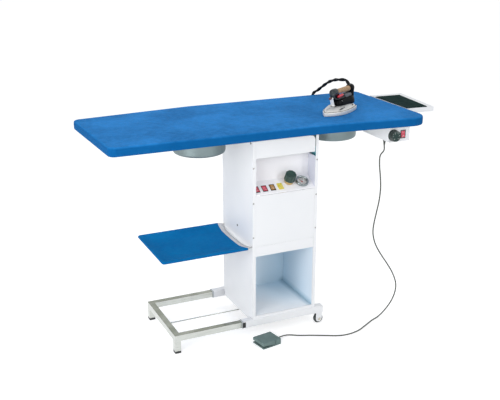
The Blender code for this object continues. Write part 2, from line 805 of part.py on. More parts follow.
def make_suction(side, label):
    x = CABINET_X + side * TUB_REACH
    top = PAN_BOTTOM - GAP
    bottom = top - TUB_DEPTH
    motor_top = bottom + MOTOR_HEIGHT
    shaft_top = motor_top + FAN_HEIGHT
    profile = [
        (TUB_RADIUS - TUB_ROUND, 0.0),
        (TUB_RADIUS, TUB_ROUND),
        (TUB_RADIUS, TUB_DEPTH),
        (TUB_RADIUS - TUB_WALL, TUB_DEPTH),
        (TUB_RADIUS - TUB_WALL, TUB_ROUND),
        (TUB_RADIUS - TUB_ROUND, TUB_WALL),
        (MOTOR_RADIUS, TUB_WALL),
        (MOTOR_RADIUS, MOTOR_HEIGHT),
        (SHAFT_RADIUS, MOTOR_HEIGHT),
        (SHAFT_RADIUS, shaft_top - bottom),
    ]
    tub = turned(f"suction_tub_{label}", profile, (x, TUB_Y, bottom), "Z", 24, "galvanised")
    vent = box(
        f"tub_vent_{label}",
        (x - MOTOR_RADIUS, TUB_Y + TUB_RADIUS - TUB_WALL - OVERRUN, bottom + 2 * TUB_ROUND),
        (x + MOTOR_RADIUS, TUB_Y + TUB_RADIUS + OVERRUN, bottom + MOTOR_HEIGHT),
        "galvanised",
    )
    cut(tub, vent)

    outline = []
    for blade in range(FAN_BLADES):
        start = 2 * math.pi * blade / FAN_BLADES
        root = FAN_BLADE / 2 / FAN_HUB
        tip = FAN_BLADE / 2 / FAN_RADIUS
        for radius, angle in (
            (FAN_HUB, start - root), (FAN_RADIUS, start + BLADE_LEAN - tip),
            (FAN_RADIUS, start + BLADE_LEAN + tip), (FAN_HUB, start + root),
        ):
            outline.append((radius * math.cos(angle), radius * math.sin(angle)))
    base = motor_top + GAP
    wheel = prism(f"fan_{label}", outline, "Z", 0.0, FAN_HEIGHT - FAN_DISC, "galvanised")
    disc = turned(
        f"fan_disc_{label}", [(FAN_RADIUS, 0.0), (FAN_RADIUS, FAN_DISC)],
        (0, 0, 0), "Z", 24, "galvanised",
    )
    bore = turned(
        f"fan_bore_{label}",
        [(SHAFT_RADIUS + GAP, -OVERRUN), (SHAFT_RADIUS + GAP, FAN_HEIGHT + OVERRUN)],
        (0, 0, 0), "Z", 12, "galvanised",
    )
    pivot = frame_empty(f"fan_axis_{label}", (x, TUB_Y, base))
    hang([wheel], pivot)
    join(wheel, disc)
    cut(wheel, bore)


# Cabinet


def side_panel(name, side):
    """Folded side: a wall with a flange at the front and one at the back."""
    wall = CABINET_LEFT if side < 0 else CABINET_RIGHT
    inward = -side
    front, back = CABINET_FRONT, CABINET_BACK
    outline = [
        (wall, front),
        (wall, back),
        (wall + inward * REAR_FLANGE, back),
        (wall + inward * REAR_FLANGE, back - SHEET),
        (wall + inward * SHEET, back - SHEET),
        (wall + inward * SHEET, front + SHEET),
        (wall + inward * FLANGE, front + SHEET),
        (wall + inward * FLANGE, front),
    ]
    panel = prism(name, outline, "Z", CABINET_BOTTOM, CABINET_TOP, "white_paint")
    reach = max(FLANGE, REAR_FLANGE) + OVERRUN
    xs = sorted((wall - inward * OVERRUN, wall + inward * reach))
    notch = box(
        f"{name}_rail_notch",
        (xs[0], front - OVERRUN, CABINET_BOTTOM - OVERRUN),
        (xs[1], FRONT_RAIL_Y + RAIL / 2 + 2 * GAP + SHEET, RAIL_TOP + 2 * GAP + SHEET),
        "white_paint",
    )
    heel = prism(
        f"{name}_heel",
        [
            (back - HEEL_CHAMFER_DEPTH, CABINET_BOTTOM - OVERRUN),
            (back - HEEL_CHAMFER_DEPTH, CABINET_BOTTOM),
            (back - SHEET * 2, CABINET_BOTTOM + HEEL_CHAMFER_HEIGHT),
            (back + OVERRUN, CABINET_BOTTOM + HEEL_CHAMFER_HEIGHT),
            (back + OVERRUN, CABINET_BOTTOM - OVERRUN),
        ],
        "X", xs[0], xs[1], "white_paint",
    )
    cut(panel, notch, heel)
    return panel


def make_left_panel():
    panel = side_panel("left_panel", -1)
    slot_front = CABINET_FRONT + SLOT_FROM_FRONT
    slot_top = CABINET_TOP - SLOT_FROM_TOP
    slot = box(
        "edge_slot",
        (CABINET_LEFT - OVERRUN, slot_front - SLOT_WIDTH / 2, slot_top - SLOT_HEIGHT),
        (CABINET_LEFT + OVERRUN, slot_front + SLOT_WIDTH / 2, slot_top),
        "white_paint",
    )
    hole = turned(
        "cable_hole", [(CABLE_HOLE, -OVERRUN), (CABLE_HOLE, OVERRUN)],
        (CABINET_LEFT, CABINET_Y, CABLE_HOLE_Z), "X", 8, "white_paint",
    )
    cut(panel, slot, hole)
    for side in (-1, 1):
        centre = (CABINET_LEFT, CABINET_Y + side * TRAY_SOCKET_HALF, TRAY_Z)
        half = SOCKET_RADIUS
        socket = box(
            f"tray_socket_{side}",
            (centre[0] + SHEET / 2, centre[1] - half, TRAY_Z - half),
            (centre[0] + TRAY_INSERT + SHEET, centre[1] + half, TRAY_Z + half),
            "white_paint",
        )
        bore = box(
            f"tray_bore_{side}",
            (centre[0] - OVERRUN, centre[1] - TRAY_WIRE - GAP, TRAY_Z - TRAY_WIRE - GAP),
            (
                centre[0] + TRAY_INSERT + OVERRUN,
                centre[1] + TRAY_WIRE + GAP, TRAY_Z + TRAY_WIRE + GAP,
            ),
            "white_paint",
        )
        join(panel, socket)
        cut(panel, bore)


def make_cabinet():
    make_left_panel()
    side_panel("right_panel", 1)
    back_inner = CABINET_BACK - SHEET - GAP
    back_outer = CABINET_BACK + GAP

    back = box(
        "back_panel",
        (CABINET_LEFT, back_outer, CABINET_BOTTOM + HEEL_CHAMFER_HEIGHT),
        (CABINET_RIGHT, back_outer + SHEET, CABINET_TOP),
        "white_paint",
    )
    slots = []
    for index in range(VENT_COUNT):
        low = VENT_BOTTOM + index * VENT_PITCH
        slots.append(box(
            f"vent_{index}",
            (CABINET_X - VENT_WIDTH / 2, back_outer - OVERRUN, low),
            (CABINET_X + VENT_WIDTH / 2, back_outer + SHEET + OVERRUN, low + VENT_HEIGHT),
            "white_paint",
        ))
    outlet_hole = turned(
        "outlet_hole", [(STEAM_PIPE_RADIUS + GAP, -OVERRUN), (STEAM_PIPE_RADIUS + GAP, OVERRUN)],
        (CABINET_X + VALVE_X, back_outer, VALVE_Z), "Y", 12, "white_paint",
    )
    cut(back, *slots, outlet_hole)

    rail_front = FRONT_RAIL_Y + RAIL / 2 + GAP
    rail_back = BACK_RAIL_Y - RAIL / 2 - GAP
    low = CABINET_BOTTOM
    step = RAIL_TOP + GAP
    lip_top = CUBBY_FLOOR - SHEET - GAP
    outline = [
        (rail_front, low), (rail_back, low), (rail_back, step),
        (BACK_RAIL_Y + RAIL / 2, step), (BACK_RAIL_Y + RAIL / 2, step + SHEET),
        (rail_back - SHEET, step + SHEET), (rail_back - SHEET, low + SHEET),
        (rail_front + SHEET, low + SHEET), (rail_front + SHEET, step + SHEET),
        (CABINET_FRONT + SHEET, step + SHEET), (CABINET_FRONT + SHEET, lip_top),
        (CABINET_FRONT, lip_top), (CABINET_FRONT, step), (rail_front, step),
    ]
    floor = prism("base_plate", outline, "X", INNER_LEFT, INNER_RIGHT, "white_paint")
    tab_x = CABINET_LEFT + TAB_FROM_LEFT
    rod_z = RAIL_Z - ROD_DROP
    tab = box(
        "rod_tab",
        (tab_x, CABINET_Y - TAB_WIDTH / 2, rod_z - TAB_WIDTH / 3),
        (tab_x + TAB_THICKNESS, CABINET_Y + TAB_WIDTH / 2, low + SHEET / 2),
        "white_paint",
    )
    rod_hole = turned(
        "rod_hole", [(ROD_RADIUS + GAP, -OVERRUN), (ROD_RADIUS + GAP, OVERRUN)],
        (tab_x, CABINET_Y, rod_z), "X", 12, "white_paint",
    )
    join(floor, tab)
    cut(floor, rod_hole)

    top_outline = [
        (CABINET_FRONT, FASCIA_TOP + GAP), (CABINET_FRONT, CABINET_TOP),
        (back_inner, CABINET_TOP), (back_inner, CABINET_TOP - SHEET),
        (CABINET_FRONT + SHEET, CABINET_TOP - SHEET),
        (CABINET_FRONT + SHEET, FASCIA_TOP + GAP),
    ]
    top = prism("top_plate", top_outline, "X", INNER_LEFT, INNER_RIGHT, "white_paint")
    shoulders = []
    for side, wall in ((-1, CABINET_LEFT), (1, CABINET_RIGHT)):
        xs = sorted((wall, wall - side * (FLANGE + GAP)))
        shoulders.append(box(
            f"top_plate_relief_{side}",
            (xs[0], CABINET_FRONT - OVERRUN, FASCIA_TOP - OVERRUN),
            (xs[1], CABINET_FRONT + SHEET + GAP, CABINET_TOP + OVERRUN),
            "white_paint",
        ))
    cut(top, *shoulders)
    for side, wall in ((-1, CABINET_LEFT), (1, CABINET_RIGHT)):
        xs = sorted((wall, wall - side * (FLANGE + GAP)))
        shoulders.append(box(
            f"base_relief_{side}",
            (xs[0], CABINET_FRONT - OVERRUN, step + SHEET + GAP),
            (xs[1], CABINET_FRONT + SHEET + GAP, lip_top + OVERRUN),
            "white_paint",
        ))
    cut(floor, *shoulders[2:])
    make_fascia()
    make_front_panel()
    make_liner()
    make_recess()


def make_fascia():
    """Cover over the recess: bent back at both ends, with two round upper corners."""
    left, right = OPEN_LEFT, OPEN_RIGHT
    front = CABINET_FRONT
    back = front + FASCIA_RETURN
    bend = FASCIA_CORNER / 2
    outer = rounded([
        (left, back, SHEET / 4), (left, front, bend),
        (right, front, bend), (right, back, SHEET / 4),
    ], 3)
    inner = inset(outer, SHEET)
    plate = prism("fascia", outer, "Z", FASCIA_BOTTOM, FASCIA_TOP, "white_paint")
    hollow_outline = [(p.x, p.y + (OVERRUN + SHEET if p.y > back - bend else 0)) for p in inner]
    hollow = prism(
        "fascia_hollow", hollow_outline, "Z",
        FASCIA_BOTTOM - OVERRUN, FASCIA_TOP + OVERRUN, "white_paint",
    )
    cut(plate, hollow)


def make_front_panel():
    left, right = OPEN_LEFT, OPEN_RIGHT
    front = CABINET_FRONT
    outline = [
        (left, front), (right, front), (right, front + PANEL_RETURN),
        (right - SHEET, front + PANEL_RETURN), (right - SHEET, front + SHEET),
        (left + SHEET, front + SHEET), (left + SHEET, front + PANEL_RETURN),
        (left, front + PANEL_RETURN),
    ]
    panel = prism(
        "front_panel", outline, "Z", PANEL_SEAM + GAP, SHELF_FRONT - 4 * SHEET, "white_paint",
    )
    relief = box(
        "socket_relief",
        (left - OVERRUN, front + SHEET, PANEL_SEAM - OVERRUN),
        (right + OVERRUN, front + PANEL_RETURN + OVERRUN, TRAY_Z + 2 * SOCKET_RADIUS),
        "white_paint",
    )
    cut(panel, relief)


def make_liner():
    """Open storage box with the front strip above its mouth."""
    left, right = OPEN_LEFT, OPEN_RIGHT
    front = CABINET_FRONT
    back = front + CUBBY_DEPTH
    liner = box(
        "cubby_liner", (left, front, CUBBY_FLOOR - SHEET), (right, back, LINER_TOP), "white_paint",
    )
    header = box(
        "liner_header",
        (left, front, CUBBY_TOP), (right, front + SHEET, PANEL_SEAM), "white_paint",
    )
    mouth = box(
        "liner_mouth",
        (left + SHEET, front - OVERRUN, CUBBY_FLOOR),
        (right - SHEET, back - SHEET, CUBBY_TOP), "white_paint",
    )
    join(liner, header)
    cut(liner, mouth)


def slope_point(along, lift=0.0):
    """Height and depth of a point on the sloping panel, measured up from its front edge."""
    y = CABINET_FRONT + along * math.cos(PANEL_SLOPE) - lift * math.sin(PANEL_SLOPE)
    z = SHELF_FRONT + along * math.sin(PANEL_SLOPE) + lift * math.cos(PANEL_SLOPE)
    return y, z


def make_recess():
    left, right = OPEN_LEFT, OPEN_RIGHT
    front = CABINET_FRONT
    back = front + RECESS_DEPTH
    rise = RECESS_DEPTH * math.tan(PANEL_SLOPE)
    hem = SHELF_FRONT - 3 * SHEET
    drop = SHEET / math.cos(PANEL_SLOPE)
    outline = [
        (front, hem), (front, SHELF_FRONT), (back, SHELF_FRONT + rise),
        (back, RECESS_BACK_TOP), (back + SHEET, RECESS_BACK_TOP),
        (back + SHEET, SHELF_FRONT + rise - drop), (front + SHEET, SHELF_FRONT - drop),
        (front + SHEET, hem),
    ]
    insert = prism("control_recess", outline, "X", left, right, "white_paint")
    cheek_outline = [
        (front, SHELF_FRONT - 2 * SHEET), (front, RECESS_SIDE_TOP),
        (back + SHEET, RECESS_SIDE_TOP), (back + SHEET, SHELF_FRONT + rise - drop),
    ]
    for label, start in (("left", left), ("right", right - SHEET)):
        cheek = prism(
            f"recess_cheek_{label}", cheek_outline, "X", start, start + SHEET, "white_paint",
        )
        join(insert, cheek)

    slope = frame_empty(
        "slope_axis", (CABINET_X, front, SHELF_FRONT), (PANEL_SLOPE, 0.0, 0.0),
    )
    cutters = []
    opening_half = SWITCH_LENGTH / 2 - BEZEL
    for index in range(SWITCH_COUNT + 1):
        x = SWITCH_FIRST_X + index * SWITCH_PITCH
        half = SWITCH_WIDTH / 2 - BEZEL
        cutters.append(box(
            f"switch_hole_{index}",
            (x - half, SWITCH_ALONG_SLOPE - opening_half, -OVERRUN),
            (x + half, SWITCH_ALONG_SLOPE + opening_half, OVERRUN),
            "white_paint",
        ))
    for label, x, along, radius in (
        ("neck", NECK_X, NECK_ALONG_SLOPE, NECK_RADIUS),
        ("gauge", GAUGE_X, GAUGE_ALONG_SLOPE, GAUGE_BODY_RADIUS),
    ):
        cutters.append(turned(
            f"{label}_hole", [(radius + GAP, -OVERRUN), (radius + GAP, OVERRUN)],
            (x, along, 0.0), "Z", 24, "white_paint",
        ))
    cut(insert, *cutters)
    for cutter in cutters:
        cutter.parent = slope
    make_panel_fittings(slope)


# Fittings on the sloping panel: local X along the panel, Y up the slope, Z out of it


def rocker_outline(length, height, depth):
    half = length / 2
    foot = half * ROCKER_DIP_SHARE
    dip = height * ROCKER_DIP_SHARE
    return [
        (-half, 0.0), (-half, height), (0.0, dip), (half, height), (half, 0.0),
        (foot, -depth), (-foot, -depth),
    ]


def make_rocker(name, width, length, height, finish):
    """Rocker along local Y, pressed down at its far end, with its origin on its pin."""
    outline = rocker_outline(length, height, ROCKER_AXIS_DEPTH)
    rocker = prism(name, outline, "X", -width / 2, width / 2, finish)
    rocker.data.transform(Matrix.Rotation(-ROCKER_TILT, 4, "X"))
    return rocker


def make_panel_fittings(slope):
    pieces = []
    bank = None
    half = SWITCH_WIDTH / 2
    long_half = SWITCH_LENGTH / 2
    wall = BEZEL + GAP
    finishes = ("red_plastic", "red_plastic", "orange_plastic")
    wells = []
    blocks = []
    for index in range(SWITCH_COUNT):
        x = SWITCH_FIRST_X + index * SWITCH_PITCH
        y = SWITCH_ALONG_SLOPE
        rim = box(
            f"switch_rim_{index}" if index else "switch_bank",
            (x - half, y - long_half, GAP), (x + half, y + long_half, BEZEL_HEIGHT),
            "black_plastic",
        )
        body = box(
            f"switch_body_{index}",
            (x - half + wall, y - long_half + wall, -SWITCH_BODY_DEPTH),
            (x + half - wall, y + long_half - wall, BEZEL_HEIGHT / 2),
            "black_plastic",
        )
        inner_half = half - BEZEL * WELL_RIM_SHARE
        inner_long = long_half - BEZEL * WELL_RIM_SHARE
        wells.append(box(
            f"switch_well_{index}",
            (x - inner_half, y - inner_long, -WELL_DEPTH),
            (x + inner_half, y + inner_long, OVERRUN),
            "black_plastic",
        ))
        blocks.append(body)
        if bank is None:
            bank = rim
        else:
            blocks.append(rim)
        rocker = make_rocker(
            f"rocker_{index + 1}",
            2 * (inner_half - ROCKER_CLEARANCE), 2 * (inner_long - 2 * ROCKER_CLEARANCE),
            ROCKER_HEIGHT, finishes[index],
        )
        rocker.location = (x, y, 0.0)
        pieces.append(rocker)
    strip = box(
        "switch_strip",
        (
            SWITCH_FIRST_X, SWITCH_ALONG_SLOPE - BANK_STRIP / 2,
            -SWITCH_BODY_DEPTH,
        ),
        (
            SWITCH_FIRST_X + (SWITCH_COUNT - 1) * SWITCH_PITCH,
            SWITCH_ALONG_SLOPE + BANK_STRIP / 2, -WELL_DEPTH - SHEET,
        ),
        "black_plastic",
    )
    join(bank, *blocks, strip)
    cut(bank, *wells)
    pieces.append(bank)

    x = LAMP_X
    lamp = box(
        "pilot_lamp",
        (x - half, SWITCH_ALONG_SLOPE - long_half, GAP),
        (x + half, SWITCH_ALONG_SLOPE + long_half, LAMP_HEIGHT),
        "yellow_plastic",
    )
    stem = box(
        "lamp_stem",
        (x - half + wall, SWITCH_ALONG_SLOPE - long_half + wall, -SWITCH_BODY_DEPTH),
        (x + half - wall, SWITCH_ALONG_SLOPE + long_half - wall, LAMP_HEIGHT / 2),
        "yellow_plastic",
    )
    join(lamp, stem)
    pieces.append(lamp)
    pieces += make_gauge()
    hang(pieces, slope)
    make_filler(slope)


def make_gauge():
    rim = GAUGE_RADIUS - GAUGE_RIM
    body = turned(
        "gauge_body",
        [
            (GAUGE_BODY_RADIUS, -GAUGE_BODY_DEPTH), (GAUGE_BODY_RADIUS, GAP),
            (GAUGE_RADIUS, GAP), (GAUGE_RADIUS, GAUGE_RIM_HEIGHT - SHEET),
            (GAUGE_RADIUS - SHEET, GAUGE_RIM_HEIGHT), (rim, GAUGE_RIM_HEIGHT),
            (rim, GAUGE_FACE_HEIGHT), (PIVOT_RADIUS, GAUGE_FACE_HEIGHT),
            (PIVOT_RADIUS, GAUGE_FACE_HEIGHT + NEEDLE_LIFT + NEEDLE_THICKNESS),
        ],
        (GAUGE_X, GAUGE_ALONG_SLOPE, 0.0), "Z", 28, "chrome",
    )
    outline = [
        (-NEEDLE_WIDTH, -NEEDLE_TAIL), (NEEDLE_WIDTH, -NEEDLE_TAIL),
        (NEEDLE_WIDTH, NEEDLE_WIDTH), (NEEDLE_WIDTH / 4, NEEDLE_LENGTH),
        (-NEEDLE_WIDTH / 4, NEEDLE_LENGTH), (-NEEDLE_WIDTH, NEEDLE_WIDTH),
    ]
    base = GAUGE_FACE_HEIGHT + NEEDLE_LIFT / 2
    needle = prism("gauge_needle", outline, "Z", 0.0, NEEDLE_THICKNESS, "red_plastic")
    eye = turned(
        "needle_eye", [(PIVOT_RADIUS + GAP, -OVERRUN), (PIVOT_RADIUS + GAP, OVERRUN)],
        (GAUGE_X, GAUGE_ALONG_SLOPE, base), "Z", 8, "red_plastic",
    )
    needle.data.transform(Matrix.Rotation(NEEDLE_TURN, 4, "Z"))
    needle.location = (GAUGE_X, GAUGE_ALONG_SLOPE, base)
    cut(needle, eye)
    return [body, needle]


def make_filler(slope):
    """Threaded brass neck from the boiler to the panel, with its fluted screw cap."""
    centre = (NECK_X, NECK_ALONG_SLOPE, 0.0)
    y, z = slope_point(NECK_ALONG_SLOPE)
    depth = (z - BOILER_TOP) / math.cos(PANEL_SLOPE)
    below = depth + NECK_RADIUS * math.tan(PANEL_SLOPE) + OVERRUN
    stub = COLLAR_HEIGHT + CAP_HEIGHT / 2
    neck = turned(
        "filler_neck",
        [
            (NECK_BORE, -below), (NECK_RADIUS, -below), (NECK_RADIUS, GAP),
            (COLLAR_RADIUS, GAP), (COLLAR_RADIUS, COLLAR_HEIGHT),
            (NECK_RADIUS, COLLAR_HEIGHT), (NECK_RADIUS, stub), (NECK_BORE, stub),
        ],
        centre, "Z", 20, "brass", closed=True,
    )
    base = COLLAR_HEIGHT + GAP
    points = CAP_FLUTES * 4
    outer = []
    for index in range(points):
        dent = CAP_FLUTE_DEPTH if index % 4 == 0 else 0.0
        angle = 2 * math.pi * index / points
        radius = CAP_RADIUS - dent
        outer.append((radius, math.cos(angle), math.sin(angle)))

    def ring(shrink, height):
        return [((r - shrink) * c, (r - shrink) * s, height) for r, c, s in outer]

    round_over = CAP_RADIUS / 8
    cap = loft(
        "filler_cap",
        [
            ring(round_over / 2, base), ring(0.0, base + round_over / 2),
            ring(0.0, base + CAP_HEIGHT - round_over), ring(round_over, base + CAP_HEIGHT),
        ],
        "dark_green_plastic", True,
    )
    socket = turned(
        "cap_socket",
        [
            (NECK_RADIUS + GAP, COLLAR_HEIGHT - OVERRUN),
            (NECK_RADIUS + GAP, stub + OVERRUN / 2),
        ],
        centre, "Z", 20, "dark_green_plastic",
    )
    cap.location = centre
    cut(cap, socket)

    reach = BOILER_RADIUS
    seat = box(
        "neck_seat",
        (CABINET_X + NECK_X - reach, CABINET_Y - CABINET_DEPTH, BOILER_TOP - reach),
        (CABINET_X + NECK_X + reach, CABINET_Y + reach, BOILER_TOP + GAP),
        "brass",
    )
    hang([neck, cap], slope)
    cut(neck, seat)
    seat.parent = None


# Boiler and steam line


def make_boiler():
    x = CABINET_X + BOILER_X
    y = CABINET_Y + BOILER_Y
    wall = BOILER_WALL
    flat = BOILER_RADIUS - BOILER_SHOULDER
    tank = turned(
        "boiler_tank",
        [
            (flat, 0.0), (BOILER_RADIUS, BOILER_SHOULDER),
            (BOILER_RADIUS, BOILER_HEIGHT - BOILER_SHOULDER), (flat, BOILER_HEIGHT),
        ],
        (x, y, BOILER_BOTTOM), "Z", 20, "inner_steel",
    )
    space = turned(
        "tank_space",
        [
            (flat - wall / 2, wall), (BOILER_RADIUS - wall, BOILER_SHOULDER),
            (BOILER_RADIUS - wall, BOILER_HEIGHT - BOILER_SHOULDER),
            (flat - wall / 2, BOILER_HEIGHT - wall),
        ],
        (x, y, BOILER_BOTTOM), "Z", 20, "inner_steel",
    )
    slope_y, slope_z = slope_point(NECK_ALONG_SLOPE)
    neck_y = slope_y + (slope_z - BOILER_TOP) * math.tan(PANEL_SLOPE)
    mouth = turned(
        "tank_mouth", [(NECK_BORE, -OVERRUN), (NECK_BORE, OVERRUN)],
        (CABINET_X + NECK_X, neck_y, BOILER_TOP), "Z", 16, "inner_steel",
    )
    heater_z = BOILER_BOTTOM + HEATER_HEIGHT
    heater_hole = turned(
        "heater_hole",
        [
            (HEATER_ELEMENT_RADIUS + GAP, -BOILER_RADIUS - OVERRUN),
            (HEATER_ELEMENT_RADIUS + GAP, -BOILER_RADIUS + 2 * OVERRUN),
        ],
        (x, y, heater_z), "X", 12, "inner_steel",
    )
    cut(tank, space, mouth, heater_hole)

    face = -BOILER_RADIUS - GAP
    turned(
        "boiler_heater",
        [
            (HEATER_FLANGE_RADIUS / 3, face - HEATER_FLANGE_THICKNESS - HEATER_TERMINAL),
            (HEATER_FLANGE_RADIUS / 3, face - HEATER_FLANGE_THICKNESS),
            (HEATER_FLANGE_RADIUS, face - HEATER_FLANGE_THICKNESS),
            (HEATER_FLANGE_RADIUS, face), (HEATER_ELEMENT_RADIUS, face),
            (HEATER_ELEMENT_RADIUS, face + HEATER_ELEMENT_LENGTH),
        ],
        (x, y, heater_z), "X", 12, "brass",
    )

    valve_x = CABINET_X + VALVE_X
    valve_y = CABINET_Y + VALVE_Y
    half = VALVE_BLOCK / 2
    block = box(
        "steam_valve",
        (valve_x - half, valve_y - half, BOILER_TOP + GAP),
        (valve_x + half, valve_y + half, VALVE_Z + half), "brass",
    )
    coil = turned(
        "valve_coil", [(COIL_RADIUS, half - OVERRUN), (COIL_RADIUS, half + COIL_HEIGHT)],
        (valve_x, valve_y, VALVE_Z), "Z", 16, "brass",
    )
    pipe_end = CABINET_BACK + GAP + SHEET
    pipe = turned(
        "steam_pipe",
        [(STEAM_PIPE_RADIUS, half - OVERRUN), (STEAM_PIPE_RADIUS, pipe_end - valve_y)],
        (valve_x, valve_y, VALVE_Z), "Y", 10, "brass",
    )
    join(block, coil, pipe)

    turned(
        "hose_outlet",
        [
            (OUTLET_NUT, GAP), (OUTLET_NUT, OUTLET_NUT_LENGTH),
            (OUTLET_RADIUS, OUTLET_NUT_LENGTH), (OUTLET_RADIUS - GAP, OUTLET_LENGTH / 2),
            (HOSE_DIAMETER / 2, OUTLET_LENGTH),
        ],
        (valve_x, pipe_end, VALVE_Z), "Y", 12, "black_plastic",
    )


# Base: rails, wheels, sliding frame


def make_rail(label, y):
    half = RAIL / 2
    bore_half = half - RAIL_WALL
    rail = box(
        f"{label}_rail",
        (RAIL_START, y - half, RAIL_BOTTOM), (RAIL_END, y + half, RAIL_TOP), "white_paint",
    )
    bore = box(
        f"{label}_rail_bore",
        (RAIL_START - OVERRUN, y - bore_half, RAIL_Z - bore_half),
        (RAIL_END - RAIL_CAP, y + bore_half, RAIL_Z + bore_half), "white_paint",
    )
    wheel_x = RAIL_END - WHEEL_FROM_END
    axle = WHEEL_RADIUS
    ear_gap = WHEEL_WIDTH / 2 + HUB_PROUD + GAP
    outline = [(-FORK_RADIUS, RAIL_BOTTOM - axle + RAIL_WALL / 2)]
    for index in range(9):
        angle = math.pi + math.pi * index / 8
        outline.append((FORK_RADIUS * math.cos(angle), FORK_RADIUS * math.sin(angle)))
    outline.append((FORK_RADIUS, RAIL_BOTTOM - axle + RAIL_WALL / 2))
    ears = []
    for side in (-1, 1):
        start = y + side * ear_gap
        end = start + side * FORK_THICKNESS
        placed = [(wheel_x + a, axle + b) for a, b in outline]
        ears.append(prism(
            f"{label}_ear_{side}", placed, "Y", min(start, end), max(start, end), "white_paint",
        ))
    head = ear_gap + FORK_THICKNESS / 2
    pin = turned(
        f"{label}_axle",
        [
            (AXLE_HEAD, -head - FORK_THICKNESS / 2 - AXLE_HEAD_HEIGHT), (AXLE_HEAD, -head),
            (AXLE_RADIUS, -head), (AXLE_RADIUS, head),
        ],
        (wheel_x, y, axle), "Y", 12, "white_paint",
    )
    join(rail, *ears, pin)
    cut(rail, bore)

    lip_half = half
    bush = box(
        f"rail_bushing_{label}",
        (RAIL_START - BUSHING_LIP, y - lip_half, RAIL_Z - lip_half),
        (RAIL_START - GAP, y + lip_half, RAIL_Z + lip_half), "black_plastic",
    )
    sleeve_half = bore_half - GAP
    sleeve = box(
        f"bushing_sleeve_{label}",
        (RAIL_START - BUSHING_LIP / 2, y - sleeve_half, RAIL_Z - sleeve_half),
        (RAIL_START + BUSHING_DEPTH, y + sleeve_half, RAIL_Z + sleeve_half), "black_plastic",
    )
    tube_half = TUBE / 2 + GAP
    passage = box(
        f"bushing_passage_{label}",
        (RAIL_START - BUSHING_LIP - OVERRUN, y - tube_half, RAIL_Z - tube_half),
        (RAIL_START + BUSHING_DEPTH + OVERRUN, y + tube_half, RAIL_Z + tube_half),
        "black_plastic",
    )
    join(bush, sleeve)
    cut(bush, passage)

    hub = turned(
        f"wheel_{label}",
        [
            (AXLE_RADIUS + GAP, -WHEEL_WIDTH / 2 - HUB_PROUD),
            (HUB_RADIUS, -WHEEL_WIDTH / 2 - HUB_PROUD), (HUB_RADIUS, -WHEEL_WIDTH / 2),
            (WHEEL_RADIUS - SHEET, -WHEEL_WIDTH / 2), (WHEEL_RADIUS, -WHEEL_WIDTH / 2 + SHEET),
            (WHEEL_RADIUS, WHEEL_WIDTH / 2 - SHEET), (WHEEL_RADIUS - SHEET, WHEEL_WIDTH / 2),
            (HUB_RADIUS, WHEEL_WIDTH / 2), (HUB_RADIUS, WHEEL_WIDTH / 2 + HUB_PROUD),
            (AXLE_RADIUS + GAP, WHEEL_WIDTH / 2 + HUB_PROUD),
        ],
        (0, 0, 0), "Y", 24, "black_rubber", closed=True,
    )
    hub.location = (wheel_x, y, axle)


def make_extension():
    """Chrome frame: two tubes in the rails, a crossbar and two legs, hollow to the ends."""
    half = TUBE / 2
    left = CABINET_X - EXTENSION_REACH
    inner = RAIL_START + TUBE_INSERT
    bar_x = left + half

    def bars(prefix, size, reach, end_reach):
        made = [box(
            f"{prefix}crossbar",
            (bar_x - size, FRONT_RAIL_Y - size, RAIL_Z - size),
            (bar_x + size, BACK_RAIL_Y + size, RAIL_Z + size), "chrome",
        )]
        for label, y in (("front", FRONT_RAIL_Y), ("back", BACK_RAIL_Y)):
            made.append(box(
                f"{prefix}tube_{label}",
                (bar_x - size + reach, y - size, RAIL_Z - size),
                (inner + end_reach, y + size, RAIL_Z + size), "chrome",
            ))
            made.append(box(
                f"{prefix}leg_{label}",
                (bar_x - size, y - size, FOOT_HEIGHT + GAP - end_reach),
                (bar_x + size, y + size, RAIL_Z + size - reach), "chrome",
            ))
        return made

    outer = bars("extension_", half, TUBE_WALL / 2, 0.0)
    hollow = bars("bore_", half - TUBE_WALL, TUBE_WALL / 2, OVERRUN)
    frame = outer[0]
    frame.name = "extension_frame"
    frame.data.name = "extension_frame"
    rod_start = bar_x + half - TUBE_WALL / 2
    collar_x = CABINET_LEFT + TAB_FROM_LEFT + TAB_THICKNESS + GAP
    rod_z = RAIL_Z - ROD_DROP
    rod = turned(
        "guide_rod",
        [
            (ROD_RADIUS, rod_start), (ROD_RADIUS, collar_x), (ROD_COLLAR, collar_x),
            (ROD_COLLAR, collar_x + ROD_COLLAR), (ROD_RADIUS, collar_x + ROD_COLLAR),
            (ROD_RADIUS, rod_start + ROD_LENGTH),
        ],
        (0.0, CABINET_Y, rod_z), "X", 8, "chrome",
    )
    join(frame, *outer[1:])
    cut(frame, *hollow)
    join(frame, rod)
    for label, y in (("front", FRONT_RAIL_Y), ("back", BACK_RAIL_Y)):
        plug = half - TUBE_WALL - GAP
        pad = box(
            f"foot_{label}",
            (bar_x - half, y - half, 0.0), (bar_x + half, y + half, FOOT_HEIGHT),
            "black_plastic",
        )
        stem = box(
            f"foot_stem_{label}",
            (bar_x - plug, y - plug, FOOT_HEIGHT / 2),
            (bar_x + plug, y + plug, FOOT_HEIGHT + FOOT_PLUG), "black_plastic",
        )
        join(pad, stem)


# Garment tray


